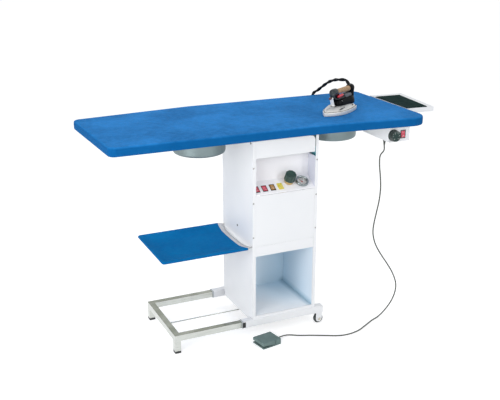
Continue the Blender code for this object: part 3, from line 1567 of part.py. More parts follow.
def make_tray():
    wall = CABINET_LEFT
    half = TRAY_HALF_DEPTH
    end = wall - TRAY_REACH
    bend = TRAY_CORNER
    nip = bend * TRAY_CORNER_SHARE
    path = []
    for side in (-1, 1):
        plug = CABINET_Y + side * TRAY_SOCKET_HALF
        out = CABINET_Y + side * half
        leg = [
            (wall + TRAY_INSERT, plug), (wall - TRAY_JOG / 2, plug),
            (wall - TRAY_JOG * 2, out), (end + bend, out),
            (end + nip, out - side * nip), (end, out - side * bend),
        ]
        path += leg if side < 0 else leg[::-1]
    rod = swept_rod(
        "tray_frame", [(x, y, TRAY_Z) for x, y in path], TRAY_WIRE, 8, "chrome",
    )
    set_origin(rod, (wall, CABINET_Y, TRAY_Z))
    make_tray_cloth(wall, end)


def ribbon(name, outer, inner, finish):
    """Close two equal grids of points, a thickness apart, into one sheet."""
    mesh_data = bmesh.new()
    grids = [[[mesh_data.verts.new(p) for p in line] for line in grid] for grid in (outer, inner)]
    columns = len(outer) - 1
    rows = len(outer[0]) - 1
    for column in range(columns):
        for row in range(rows):
            for grid in grids:
                mesh_data.faces.new((
                    grid[column][row], grid[column + 1][row],
                    grid[column + 1][row + 1], grid[column][row + 1],
                ))
    border = [(column, 0) for column in range(columns)]
    border += [(columns, row) for row in range(rows)]
    border += [(column, rows) for column in range(columns, 0, -1)]
    border += [(0, row) for row in range(rows, 0, -1)]
    tops, bottoms = grids
    for index, (column, row) in enumerate(border):
        next_column, next_row = border[(index + 1) % len(border)]
        mesh_data.faces.new((
            tops[column][row], bottoms[column][row],
            bottoms[next_column][next_row], tops[next_column][next_row],
        ))
    return make_object(name, mesh_data, finish, True)


def make_tray_cloth(wall, end):
    """Cloth with a sagging middle; both long hems wrap round the wires."""
    clear = TRAY_WIRE + GAP
    thick = CLOTH_THICKNESS
    soft = clear * CLOTH_HEM_SHARE
    span = TRAY_HALF_DEPTH - 2 * clear
    left = end - clear - thick
    hem = [
        (-clear, -clear - thick, -clear), (soft, -clear - thick, -clear),
        (clear, -soft, -soft), (clear, soft, soft), (soft, clear + thick, clear),
        (-clear, clear + thick, clear),
    ]
    outer = []
    inner = []
    for along in CLOTH_COLUMN_SHARES:
        sides = []
        for side in (-1, 1):
            x = left + along * TRAY_CLOTH_LENGTH
            out_line = []
            in_line = []
            for across, high, low in hem:
                wide = thick if across == clear else 0.0
                y = TRAY_HALF_DEPTH + across
                out_line.append((x, CABINET_Y + side * (y + wide), TRAY_Z + high))
                in_line.append((x, CABINET_Y + side * y, TRAY_Z + low))
            sides.append((out_line, in_line))
        out_row = list(sides[0][0])
        in_row = list(sides[0][1])
        for row in range(1, CLOTH_ROWS):
            across = -1 + 2 * row / CLOTH_ROWS
            pull = 1 - across * across
            x = left + along * (TRAY_CLOTH_LENGTH - CLOTH_INNER_CURVE * pull)
            late = max(0.0, along - CLOTH_COLUMN_SHARES[1])
            top = TRAY_Z + clear + thick - CLOTH_SAG * pull * late
            out_row.append((x, CABINET_Y + across * span, top))
            in_row.append((x, CABINET_Y + across * span, top - thick))
        out_row += sides[1][0][::-1]
        in_row += sides[1][1][::-1]
        outer.append(out_row)
        inner.append(in_row)
    cloth = ribbon("tray_cloth", outer, inner, "blue_cloth")
    set_origin(cloth, (wall, CABINET_Y, TRAY_Z))


# Thermostat box


def make_control_box():
    left = BOX_LEFT
    right = left + BOX_WIDTH
    front = BOX_FRONT
    back = front + BOX_DEPTH
    shell = box("control_box", (left, front, BOX_BOTTOM), (right, back, BOX_TOP), "white_paint")
    space = box(
        "box_space",
        (left + SHEET, front + SHEET, BOX_BOTTOM + SHEET),
        (right - SHEET, back - SHEET, BOX_TOP + OVERRUN), "white_paint",
    )
    knob_x = left + KNOB_X_FROM_LEFT
    spindle_hole = turned(
        "spindle_hole", [(SPINDLE_RADIUS + GAP, -OVERRUN), (SPINDLE_RADIUS + GAP, OVERRUN)],
        (knob_x, front, BOX_MID_Z), "Y", 12, "white_paint",
    )
    switch_x = left + BOX_SWITCH_X_FROM_LEFT
    wide = BOX_SWITCH_WIDTH / 2
    tall = BOX_SWITCH_LENGTH / 2
    switch_hole = box(
        "box_switch_hole",
        (switch_x - wide + BEZEL, front - OVERRUN, BOX_MID_Z - tall + BEZEL),
        (switch_x + wide - BEZEL, front + OVERRUN, BOX_MID_Z + tall - BEZEL), "white_paint",
    )
    gland_centre = (left + GLAND_FROM_LEFT, front + GLAND_FROM_FRONT, BOX_BOTTOM)
    thread = GLAND_RADIUS * GLAND_THREAD_SHARE
    nose = GLAND_LENGTH * GLAND_NOSE_START_SHARE
    nut = GLAND_LENGTH * GLAND_NUT_SHARE
    gland_hole = turned(
        "gland_hole", [(thread + GAP, -OVERRUN), (thread + GAP, OVERRUN)],
        gland_centre, "Z", 12, "white_paint",
    )
    cut(shell, space, spindle_hole, switch_hole, gland_hole)
    turned(
        "cord_gland",
        [
            (CORD_DIAMETER / 2, -GLAND_LENGTH), (GLAND_RADIUS * GLAND_NOSE_SHARE, -nose),
            (GLAND_RADIUS, -nut), (GLAND_RADIUS, -GAP), (thread, -GAP),
            (thread, SHEET + GLAND_RADIUS),
        ],
        gland_centre, "Z", 12, "black_rubber",
    )

    wide_body = THERMOSTAT_WIDTH / 2
    body_front = front + SHEET + GAP
    body = box(
        "thermostat_body",
        (knob_x - wide_body * THERMOSTAT_NEAR_SHARE, body_front, BOX_MID_Z - wide_body),
        (knob_x + wide_body, body_front + THERMOSTAT_DEPTH, BOX_MID_Z + wide_body),
        "black_plastic",
    )
    spindle = turned(
        "thermostat_spindle",
        [(SPINDLE_RADIUS, -SPINDLE_LENGTH), (SPINDLE_RADIUS, SHEET + OVERRUN)],
        (knob_x, front, BOX_MID_Z), "Y", 12, "black_plastic",
    )
    join(body, spindle)

    bore = SPINDLE_RADIUS + GAP
    depth = SPINDLE_LENGTH + GAP
    knob = turned(
        "thermostat_knob",
        [
            (bore, -depth), (bore, -GAP), (KNOB_RADIUS, -GAP), (KNOB_RADIUS, -KNOB_SKIRT),
            (KNOB_GRIP_RADIUS, -KNOB_SKIRT - SHEET), (KNOB_GRIP_RADIUS, -KNOB_HEIGHT + SHEET),
            (KNOB_GRIP_RADIUS - SHEET, -KNOB_HEIGHT),
        ],
        (0, 0, 0), "Y", 28, "black_plastic",
    )
    knob.location = (knob_x, front, BOX_MID_Z)

    rim = box(
        "box_switch",
        (switch_x - wide, front - BEZEL_HEIGHT, BOX_MID_Z - tall),
        (switch_x + wide, front - GAP, BOX_MID_Z + tall), "black_plastic",
    )
    wall = BEZEL + GAP
    switch_body = box(
        "box_switch_body",
        (switch_x - wide + wall, front - BEZEL_HEIGHT / 2, BOX_MID_Z - tall + wall),
        (switch_x + wide - wall, front + SWITCH_BODY_DEPTH, BOX_MID_Z + tall - wall),
        "black_plastic",
    )
    well_wide = wide - BEZEL * WELL_RIM_SHARE
    well_tall = tall - BEZEL * WELL_RIM_SHARE
    well = box(
        "box_switch_well",
        (switch_x - well_wide, front - OVERRUN, BOX_MID_Z - well_tall),
        (switch_x + well_wide, front + WELL_DEPTH, BOX_MID_Z + well_tall), "black_plastic",
    )
    join(rim, switch_body)
    cut(rim, well)
    rocker = make_rocker(
        "box_rocker", 2 * (well_wide - ROCKER_CLEARANCE),
        2 * (well_tall - 2 * ROCKER_CLEARANCE), ROCKER_HEIGHT, "red_plastic",
    )
    rocker.data.transform(Matrix.Rotation(math.radians(90), 4, "X"))
    rocker.location = (switch_x, front, BOX_MID_Z)
    return Vector((gland_centre[0], gland_centre[1], BOX_BOTTOM - GLAND_LENGTH))


# Pedal: local X along its length towards the cord, Y across, Z up


def make_pedal():
    length, width, height = PEDAL_LENGTH, PEDAL_WIDTH, PEDAL_HEIGHT
    half = width / 2
    block_start = length - PEDAL_BLOCK
    pin_x = length - PEDAL_PIN_IN
    base = prism(
        "pedal_base",
        [
            (0.0, 0.0), (length, 0.0), (length, height), (block_start, height),
            (block_start, PEDAL_PLATE), (0.0, PEDAL_PLATE),
        ],
        "Y", -half, half, "dark_green_plastic",
    )
    cheeks = []
    cheek_start = length - PEDAL_CHEEK_LENGTH
    for side in (-1, 1):
        ys = sorted((side * half, side * (half - PEDAL_CHEEK)))
        cheeks.append(box(
            f"pedal_cheek_{side}",
            (cheek_start, ys[0], PEDAL_PLATE / 2), (length - PEDAL_BLOCK / 2, ys[1], height),
            "dark_green_plastic",
        ))
    pin = turned(
        "pedal_pin", [(PEDAL_PIN, -half + PEDAL_CHEEK / 2), (PEDAL_PIN, half - PEDAL_CHEEK / 2)],
        (pin_x, 0.0, PEDAL_PIN_UP), "Y", 10, "dark_green_plastic",
    )
    relief_end = length + RELIEF_LENGTH
    relief = turned(
        "pedal_relief",
        [
            (RELIEF_RADIUS, length - PEDAL_CHEEK), (RELIEF_RADIUS, length + PEDAL_CHEEK),
            (CORD_DIAMETER / 2, relief_end),
        ],
        (0.0, 0.0, height / 3), "X", 10, "dark_green_plastic",
    )
    join(base, *cheeks, pin, relief)

    flap_end = block_start - PEDAL_PLAY
    floor_gap = PEDAL_PLATE + PEDAL_PLAY
    flap = prism(
        "pedal_flap",
        [
            (0.0, PEDAL_PLATE + PEDAL_MOUTH), (pin_x, floor_gap), (flap_end, floor_gap),
            (flap_end, height), (0.0, height),
        ],
        "Y", -half, half, "dark_green_plastic",
    )
    tools = []
    for side in (-1, 1):
        ys = sorted((side * (half + OVERRUN), side * (half - PEDAL_CHEEK - PEDAL_PLAY)))
        tools.append(box(
            f"flap_notch_{side}",
            (cheek_start - 4 * PEDAL_PLAY, ys[0], -OVERRUN),
            (length, ys[1], height + OVERRUN), "dark_green_plastic",
        ))
    bore = PEDAL_PIN + PEDAL_BORE_PLAY
    tools.append(turned(
        "flap_bore", [(bore, -width), (bore, width)],
        (pin_x, 0.0, PEDAL_PIN_UP), "Y", 10, "dark_green_plastic",
    ))
    cut(flap, *tools)
    spot = frame_empty("pedal_spot", (PEDAL_X, PEDAL_Y, 0.0), (0.0, 0.0, PEDAL_TURN))
    spot.location -= Matrix.Rotation(PEDAL_TURN, 3, "Z") @ Vector((length / 2, 0.0, 0.0))
    set_origin(flap, (pin_x, 0.0, PEDAL_PIN_UP))
    hang([base, flap], spot)
    turn = Matrix.Rotation(PEDAL_TURN, 3, "Z")
    return spot.location + turn @ Vector((relief_end, 0.0, height / 3)), turn.col[0].copy()


def make_pedal_cord(start, end, direction):
    lead = CORD_DIAMETER * CORD_LEAD_SHARE
    route = [
        start - Vector((0, 0, GAP)), start - Vector((0, 0, GAP + lead)),
        *PEDAL_CORD_ROUTE, end + direction * (GAP + lead), end + direction * GAP,
    ]
    points = smooth_route(route, CORD_DIAMETER * CORD_STEP_SHARE)
    cord_tube("pedal_cord", points, CORD_DIAMETER, 2, "grey_cable")


# Iron rest


def make_rest():
    """Folded plate on a swivel pin, with a mat; local origin on the pin."""
    left, right, front, back = REST_LEFT, REST_RIGHT, REST_FRONT, REST_BACK
    pivot_x, pivot_y = REST_PIVOT_X, REST_PIVOT_Y
    under = REST_TOP - SHEET
    outline = [Vector(corner) for corner in REST_CORNERS]
    tray = prism("iron_rest", REST_CORNERS, "Z", -REST_LIP, 0.0, "white_paint")
    space = prism(
        "rest_space", inset(outline, SHEET), "Z", -REST_LIP - OVERRUN, -SHEET, "white_paint",
    )
    pin_hole = turned(
        "rest_pin_hole", [(REST_PIN + GAP, -OVERRUN), (REST_PIN + GAP, OVERRUN)],
        (0, 0, 0), "Z", 12, "white_paint",
    )
    cut(tray, space, pin_hole)
    mat_back = back - MAT_MARGIN_BACK
    lean = (REST_FRONT_LEFT - left) * MAT_MARGIN_BACK / REST_LENGTH
    mat_right = right - MAT_MARGIN_RIGHT
    mat = prism(
        "rest_mat",
        rounded([
            (REST_FRONT_LEFT + MAT_MARGIN_LEFT, front + MAT_MARGIN_FRONT, MAT_THICKNESS),
            (mat_right, front + MAT_MARGIN_FRONT, MAT_THICKNESS),
            (mat_right, mat_back, MAT_THICKNESS),
            (left + lean + MAT_MARGIN_LEFT, mat_back, MAT_THICKNESS),
        ], 3),
        "Z", GAP, MAT_THICKNESS, "dark_green_plastic",
    )
    swivel = frame_empty("rest_swivel", (pivot_x, pivot_y, REST_TOP), (0, 0, REST_TURN))
    hang([tray, mat], swivel)

    arm_top = PAN_BOTTOM - GAP
    arm_low = arm_top - REST_ARM_THICKNESS
    arm = box(
        "rest_bracket",
        (pivot_x - REST_ARM_REACH, pivot_y - REST_ARM_WIDTH / 2, arm_low),
        (pivot_x + REST_ARM_WIDTH / 2, pivot_y + REST_ARM_WIDTH / 2, arm_top), "white_paint",
    )
    seat = under - GAP
    post = turned(
        "rest_post",
        [
            (REST_PIN * 2, arm_low + REST_ARM_THICKNESS / 2), (REST_PIN * 2, seat),
            (REST_PIN, seat), (REST_PIN, REST_TOP),
        ],
        (pivot_x, pivot_y, 0.0), "Z", 12, "white_paint",
    )
    join(arm, post)


# Iron: local X from the tip to the heel, Y across, Z up from the board


def sole_outline(edge, points=14):
    """Half-width along the sole, from a point at the tip to a round heel."""
    near = []
    for index in range(points + 1):
        share = index / points
        along = edge + share * (SOLE_LENGTH - 2 * edge)
        wide = math.sin(math.pi / 2 * min(1.0, share / SOLE_WIDEST_SHARE)) ** SOLE_BLUNT
        late = max(0.0, (share - SOLE_WIDEST_SHARE) / (1 - SOLE_WIDEST_SHARE))
        wide *= math.sqrt(1 - SOLE_HEEL_SHARE * late * late)
        half = max(SOLE_WIDTH / 2 * wide - edge, SHEET / 2)
        near.append((along, -half))
    far = [(along, -half) for along, half in reversed(near)]
    return near + far


def spout_turn():
    """Turn from straight up to the way the hose leaves the iron."""
    tip_back = Matrix.Rotation(SPOUT_RISE - math.pi / 2, 3, "X")
    return Matrix.Rotation(-SPOUT_SWING, 3, "Z") @ tip_back


def make_iron():
    spot = frame_empty("iron_spot", (IRON_X, IRON_Y, TABLE_HEIGHT + GAP), (0, 0, IRON_TURN))
    rise = SOLE_HEIGHT - SOLE_WALL
    levels = [
        (SHEET, 0.0), (0.0, SHEET), (0.0, SOLE_WALL - SHEET), (SHEET, SOLE_WALL),
    ]
    for across, up in SOLE_DECK_SHARES:
        levels.append((SOLE_WIDTH * across, SOLE_WALL + rise * up))
    rings = []
    for edge, height in levels:
        rings.append([(x, y, height) for x, y in sole_outline(edge)])
    sole = loft("iron_sole", rings, "aluminium", True)

    low = SOLE_HEIGHT + GAP
    half = IRON_BODY_WIDTH / 2
    start, end, top = IRON_BODY_START, IRON_BODY_END, IRON_BODY_TOP
    rings = []
    for tip, height, shares in (
        (start, low, IRON_BODY_LOW_SHARES), (start + half / 3, top, IRON_BODY_HIGH_SHARES),
    ):
        fore, waist, heel = [half * share for share in shares]
        rings.append([
            (tip, -fore, height), (tip, fore, height), (end - half, waist, height),
            (end, heel, height), (end, -heel, height), (end - half, -waist, height),
        ])
    shell = loft("iron_body", rings, "black_plastic")
    posts = []
    wide = POST_WIDTH / 2
    for label, place in (("front", FRONT_POST_U), ("rear", REAR_POST_U)):
        deep = POST_DEPTH / 2
        posts.append(box(
            f"{label}_post",
            (place - deep, -wide, top - OVERRUN), (place + deep, wide, GRIP_AXIS_Z),
            "black_plastic",
        ))
        posts.append(turned(
            f"{label}_boss",
            [(GRIP_RADIUS + SHEET, -deep), (GRIP_RADIUS + SHEET, deep)],
            (place, 0.0, GRIP_AXIS_Z), "X", 16, "black_plastic",
        ))
    ear = TRIGGER_THICKNESS
    trigger_x = FRONT_POST_U + POST_DEPTH
    saddle = box(
        "trigger_saddle",
        (trigger_x, -TRIGGER_WIDTH / 2 - ear, top - OVERRUN),
        (trigger_x + ear, TRIGGER_WIDTH / 2 + ear, TRIGGER_Z + ear), "black_plastic",
    )
    slot = box(
        "trigger_slot",
        (trigger_x - ear, -TRIGGER_WIDTH / 2 - SHEET / 2, TRIGGER_Z - ear - SHEET),
        (trigger_x + 2 * ear, TRIGGER_WIDTH / 2 + SHEET / 2, TRIGGER_Z + 2 * ear),
        "black_plastic",
    )
    trigger_pin = turned(
        "trigger_pin",
        [
            (TRIGGER_PIN, -TRIGGER_WIDTH / 2 - ear * TRIGGER_EAR_SHARE),
            (TRIGGER_PIN, TRIGGER_WIDTH / 2 + ear * TRIGGER_EAR_SHARE),
        ],
        (trigger_x + ear / 2, 0.0, TRIGGER_Z), "Y", 8, "black_plastic",
    )
    spout = turned(
        "hose_spout", [(SPOUT_RADIUS, 0.0), (SPOUT_RADIUS - SHEET, SPOUT_REACH)],
        (0, 0, 0), "Z", 12, "black_plastic",
    )
    spout.data.transform(spout_turn().to_4x4())
    spout.location = (REAR_POST_U, 0.0, GRIP_AXIS_Z)
    join(shell, *posts, saddle, spout)
    cut(shell, slot)
    join(shell, trigger_pin)

    grip_start = FRONT_POST_U + POST_DEPTH / 2 + GAP
    grip_end = REAR_POST_U - POST_DEPTH / 2 - GAP
    middle = (grip_start + grip_end) / 2
    grip = turned(
        "iron_grip",
        [
            (GRIP_RADIUS - SHEET, grip_start), (GRIP_RADIUS, middle - GRIP_RADIUS),
            (GRIP_RADIUS, middle + GRIP_RADIUS), (GRIP_RADIUS - SHEET, grip_end),
        ],
        (0.0, 0.0, GRIP_AXIS_Z), "X", 16, "cork",
    )

    lift = TRIGGER_THICKNESS
    trigger = prism(
        "iron_trigger",
        [
            (-lift / 2, -lift / 2), (TRIGGER_LENGTH, -lift / 4), (TRIGGER_LENGTH, lift * TRIGGER_TIP_SHARE),
            (lift, lift / 2), (-lift / 2, lift / 2),
        ],
        "Y", -TRIGGER_WIDTH / 2, TRIGGER_WIDTH / 2, "red_plastic",
    )
    trigger_bore = turned(
        "trigger_bore",
        [(TRIGGER_PIN + GAP, -TRIGGER_WIDTH), (TRIGGER_PIN + GAP, TRIGGER_WIDTH)],
        (trigger_x + ear / 2, 0.0, TRIGGER_Z), "Y", 8, "red_plastic",
    )
    trigger.location = (trigger_x + ear / 2, 0.0, TRIGGER_Z)
    cut(trigger, trigger_bore)
    hang([sole, shell, grip, trigger], spot)

    turn = Matrix.Rotation(IRON_TURN, 3, "Z")
    ahead = turn @ spout_turn() @ Vector((0.0, 0.0, 1.0))
    spout_root = Vector((REAR_POST_U, 0.0, GRIP_AXIS_Z))
    return Vector(spot.location) + turn @ spout_root + ahead * (SPOUT_REACH + GAP), ahead


def make_hose(start, ahead):
    lead = HOSE_DIAMETER * HOSE_LEAD_SHARE
    far, near = [Vector((0, HOSE_DIAMETER * share, 0)) for share in HOSE_APPROACH_SHARES]
    outlet = Vector((
        CABINET_X + VALVE_X, CABINET_BACK + 2 * GAP + SHEET + OUTLET_LENGTH, VALVE_Z,
    ))
    route = [start, start + ahead * lead, *HOSE_ROUTE, outlet + far, outlet + near, outlet]
    points = smooth_route(route, HOSE_DIAMETER * HOSE_STEP_SHARE)
    cord_tube("steam_hose", points, HOSE_DIAMETER, 2, "black_rubber")


for leftover in list(bpy.data.objects):
    bpy.data.objects.remove(leftover)

make_board()
for board_side, side_label in ((-1, "left"), (1, "right")):
    make_suction(board_side, side_label)
make_cabinet()
make_boiler()
make_rail("front", FRONT_RAIL_Y)
make_rail("back", BACK_RAIL_Y)
make_extension()
make_tray()
cord_start = make_control_box()
cord_end, cord_heading = make_pedal()
make_pedal_cord(cord_start, cord_end, cord_heading)
make_rest()
hose_start, hose_heading = make_iron()
make_hose(hose_start, hose_heading)
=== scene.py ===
import math
import bmesh
import bpy
import numpy as np
from mathutils import Matrix, Vector, noise


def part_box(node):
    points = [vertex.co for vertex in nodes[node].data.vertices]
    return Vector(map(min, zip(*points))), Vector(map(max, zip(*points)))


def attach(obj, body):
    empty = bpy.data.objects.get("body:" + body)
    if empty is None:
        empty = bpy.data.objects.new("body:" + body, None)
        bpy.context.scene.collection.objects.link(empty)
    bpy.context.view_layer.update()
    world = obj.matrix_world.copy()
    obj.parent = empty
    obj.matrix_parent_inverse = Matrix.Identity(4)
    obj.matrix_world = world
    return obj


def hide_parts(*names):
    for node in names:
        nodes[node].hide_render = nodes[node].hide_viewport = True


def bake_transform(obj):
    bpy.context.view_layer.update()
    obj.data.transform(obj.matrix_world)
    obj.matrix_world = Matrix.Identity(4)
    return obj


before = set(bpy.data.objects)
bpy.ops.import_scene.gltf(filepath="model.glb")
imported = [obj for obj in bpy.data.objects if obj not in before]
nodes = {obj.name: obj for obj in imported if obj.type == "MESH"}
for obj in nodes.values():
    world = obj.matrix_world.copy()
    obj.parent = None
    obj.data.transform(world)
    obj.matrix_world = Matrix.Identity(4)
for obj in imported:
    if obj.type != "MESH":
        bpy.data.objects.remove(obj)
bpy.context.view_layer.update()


# Camera. It stands in front of the table at the left, a little above the board, and looks
# down at it, with the lens of the photograph.
look_down, look_right = 19.06, 24.42
eye = bpy.data.cameras.new("camera")
eye.sensor_width = 36.0
eye.lens = 62.63
camera = bpy.data.objects.new("camera", eye)
camera.location = (-1.4745, -3.0743, 1.7140)
camera.rotation_euler = (math.radians(90 - look_down), 0.0, math.radians(-look_right))
bpy.context.scene.collection.objects.link(camera)
bpy.context.scene.camera = camera


# Pedal cord. A grey two-core cable with a PVC jacket, clamped in a gland under the thermostat
# box. It hangs to the floor in loose waves and runs along it into the back of the pedal.
def new_finish(name, colour, roughness, metallic=0.0):
    """A material with its tree and shader, ready for the pattern of one finish."""
    made = bpy.data.materials.new(name)
    made.use_nodes = True
    shader = made.node_tree.nodes["Principled BSDF"]
    shader.inputs["Base Color"].default_value = (*colour, 1.0)
    shader.inputs["Roughness"].default_value = roughness
    shader.inputs["Metallic"].default_value = metallic
    return made, made.node_tree, shader


def add(tree, kind, sockets=None, **settings):
    """A node with its settings. Each socket takes a value or another node's output."""
    made = tree.nodes.new(kind)
    for name, value in settings.items():
        setattr(made, name, value)
    for key, value in (sockets or {}).items():
        socket = made.inputs[key]
        if isinstance(value, bpy.types.NodeSocket):
            tree.links.new(value, socket)
        else:
            socket.default_value = value
    return made


def object_place(tree):
    return add(tree, "ShaderNodeTexCoord").outputs["Object"]


def ramp(tree, value, start, stop, low=0.0, high=1.0):
    """A value taken from one range to another, and held at its ends."""
    return add(tree, "ShaderNodeMapRange", {
        "Value": value, "From Min": start, "From Max": stop, "To Min": low, "To Max": high,
    }).outputs["Result"]


def cloud(tree, vector, scale, detail=2.0, low=0.35, high=0.65, to_low=0.0, to_high=1.0):
    """Soft noise, stretched from its middle range to a chosen range."""
    field = add(tree, "ShaderNodeTexNoise", {"Vector": vector, "Scale": scale, "Detail": detail})
    return ramp(tree, field.outputs["Fac"], low, high, to_low, to_high)


def mixed(tree, factor, first, second):
    """A colour between two, each one a tone or another node's output."""
    ends = [tone if isinstance(tone, bpy.types.NodeSocket) else (*tone, 1.0)
            for tone in (first, second)]
    sockets = {0: factor, 6: ends[0], 7: ends[1]}
    return add(tree, "ShaderNodeMix", sockets, data_type="RGBA").outputs[2]


def two_tones(tree, shader, factor, first, second):
    """Colour the surface between two tones by a factor."""
    tree.links.new(mixed(tree, factor, first, second), shader.inputs["Base Color"])


def raise_by(tree, shader, height, distance, strength=1.0):
    """Bump by a height, on top of any bump that the surface has."""
    bump = add(tree, "ShaderNodeBump", {
        "Height": height, "Distance": distance, "Strength": strength,
    })
    if shader.inputs["Normal"].is_linked:
        tree.links.new(shader.inputs["Normal"].links[0].from_socket, bump.inputs["Normal"])
    tree.links.new(bump.outputs["Normal"], shader.inputs["Normal"])


def vary_roughness(tree, shader, factor, low, high):
    tree.links.new(ramp(tree, factor, 0.0, 1.0, low, high), shader.inputs["Roughness"])


def moulded(name, dark, light, roughness, grain=900.0, depth=0.00006, shine=0.5):
    """Moulded plastic: a fine spark-eroded grain and a faint unevenness of tone and gloss."""
    made, tree, shader = new_finish(name, dark, roughness)
    place = object_place(tree)
    broad = cloud(tree, place, 22.0, 3.0)
    two_tones(tree, shader, broad, dark, light)
    vary_roughness(tree, shader, cloud(tree, place, 60.0, 2.0), roughness - 0.06, roughness + 0.07)
    raise_by(tree, shader, cloud(tree, place, grain, 2.0, 0.25, 0.75), depth)
    shader.inputs["Specular IOR Level"].default_value = shine
    return made


def linked(name, data):
    made = bpy.data.objects.new(name, data)
    bpy.context.scene.collection.objects.link(made)
    return made


def smooth_route(points, spacing):
    """Points a spacing apart along a smooth curve through the route's own points."""
    path = [Vector(point) for point in points]
    path = [2 * path[0] - path[1], *path, 2 * path[-1] - path[-2]]
    fine = []
    for index in range(1, len(path) - 2):
        p0, p1, p2, p3 = path[index - 1:index + 3]
        for step in range(24):
            t = step / 24
            along = (
                2 * p1 + (p2 - p0) * t + (2 * p0 - 5 * p1 + 4 * p2 - p3) * t * t
                + (3 * p1 - p0 - 3 * p2 + p3) * t ** 3
            )
            fine.append(along / 2)
    fine.append(path[-2])
    lengths = [0.0]
    for first, second in zip(fine, fine[1:]):
        lengths.append(lengths[-1] + (second - first).length)
    count = max(2, round(lengths[-1] / spacing))
    marks = np.linspace(0, lengths[-1], count + 1)
    columns = [np.interp(marks, lengths, [p[axis] for p in fine]) for axis in range(3)]
    return [Vector(row) for row in zip(*columns)], lengths[-1]


cord_diameter = 0.0055
cord_top = Vector((0.4285, -0.1990, 0.7729))
pedal_heading = Vector((math.cos(math.radians(10.5)), math.sin(math.radians(10.5)), 0.0))
pedal_relief_end = Vector((-0.03690, -0.20507, 0.00833))
cord_route = [
    cord_top, cord_top - Vector((0, 0, 4 * cord_diameter)),
    (0.4115, -0.1990, 0.7300), (0.4110, -0.1990, 0.6900), (0.4170, -0.1990, 0.6450),
    (0.4215, -0.1990, 0.5950), (0.4180, -0.1990, 0.5400), (0.4085, -0.1990, 0.4920),
    (0.3985, -0.1990, 0.4430), (0.3950, -0.1990, 0.4040), (0.4010, -0.1990, 0.3690),
    (0.4150, -0.1990, 0.3340), (0.4420, -0.1990, 0.2900), (0.4760, -0.1990, 0.2410),
    (0.5020, -0.1990, 0.1990), (0.5200, -0.1990, 0.1580), (0.5255, -0.1990, 0.1280),
    (0.5210, -0.1990, 0.0970), (0.5080, -0.1990, 0.0670), (0.4870, -0.2000, 0.0400),
    (0.4620, -0.2020, 0.0180), (0.4330, -0.2080, 0.0045), (0.3970, -0.2230, 0.0031),
    (0.3500, -0.2500, 0.0031), (0.3040, -0.2760, 0.0031), (0.2680, -0.2880, 0.0031),
    (0.2290, -0.2920, 0.0031), (0.1920, -0.2850, 0.0031), (0.1500, -0.2650, 0.0031),
    (0.0930, -0.2370, 0.0031), (0.0480, -0.2180, 0.0034), (0.0090, -0.1990, 0.0050),
    pedal_relief_end + pedal_heading * 4 * cord_diameter, pedal_relief_end + pedal_heading * 0.0003,
]
cord_points, cord_length = smooth_route(cord_route, 0.006)
cord_line = bpy.data.curves.new("pedal_cord_line", "CURVE")
cord_line.dimensions = "3D"
cord_line.bevel_depth = cord_diameter / 2
cord_line.bevel_resolution = 5
cord_line.use_fill_caps = True
spline = cord_line.splines.new("POLY")
spline.points.add(len(cord_points) - 1)
for knot, point in zip(spline.points, cord_points):
    knot.co = (*point, 1.0)
spline.use_smooth = True
cable_jacket = moulded("cable_jacket", (0.045, 0.050, 0.040), (0.068, 0.074, 0.062),
                       0.46, 1500.0, 0.00003)
cord_line.materials.append(cable_jacket)
pedal_cord = linked("pedal_cord_jacket", cord_line)
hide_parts("pedal_cord")
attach(pedal_cord, "table")


# Steam hose. A rubber steam tube and its lead in one black sleeve, a little flattened and
# twisted. It springs from the back of the iron, falls behind the board and loops up to the
# outlet in the back of the cabinet.
hose_diameter = 0.011
hose_aim = Vector((0.0, math.cos(math.radians(26)), math.sin(math.radians(26))))
iron_turn = Matrix.Rotation(math.radians(30), 4, "Z")
iron_place = Matrix.Translation((0.1845, -0.1352, 0.9003)) @ iron_turn
spout_root = iron_place @ Vector((0.206, 0.0, 0.0850))
hose_start = spout_root + hose_aim * 0.0263
hose_outlet = Vector((0.0715, 0.1818, 0.5698))
hose_route = [
    hose_start, hose_start + hose_aim * 2 * hose_diameter,
    (0.3560, 0.0420, 1.0035), (0.3550, 0.0875, 0.9945),
    (0.3540, 0.1371, 0.9770), (0.3530, 0.1900, 0.9480), (0.3525, 0.2309, 0.9235),
    (0.3522, 0.2620, 0.9080), (0.3522, 0.2815, 0.8880), (0.3522, 0.2890, 0.8620),
    (0.3520, 0.2910, 0.8200), (0.3500, 0.2920, 0.7400), (0.3450, 0.2920, 0.6200),
    (0.3350, 0.2910, 0.5000), (0.3150, 0.2900, 0.3900), (0.2800, 0.2880, 0.3050),
    (0.2330, 0.2850, 0.2700), (0.1850, 0.2820, 0.2850), (0.1450, 0.2770, 0.3350),
    (0.1150, 0.2700, 0.4050), (0.0930, 0.2600, 0.4800), (0.0790, 0.2420, 0.5400),
    hose_outlet + Vector((0, 0.0352, 0)), hose_outlet + Vector((0, 0.0176, 0)), hose_outlet,
]
hose_points, hose_length = smooth_route(hose_route, 0.006)


def piece(name, mesh_data, finish, body, replaces=(), angle=32.0):
    """Close a mesh, turn its faces outwards, and hang it on its body as one piece."""
    bmesh.ops.remove_doubles(mesh_data, verts=mesh_data.verts, dist=0.000002)
    bmesh.ops.recalc_face_normals(mesh_data, faces=mesh_data.faces)
    mesh = bpy.data.meshes.new(name)
    mesh_data.to_mesh(mesh)
    mesh_data.free()
    mesh.shade_smooth()
    mesh.set_sharp_from_angle(angle=math.radians(angle))
    mesh.materials.append(finish)
    made = linked(name, mesh)
    if replaces:
        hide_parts(*replaces)
    if body:
        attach(made, body)
    return made


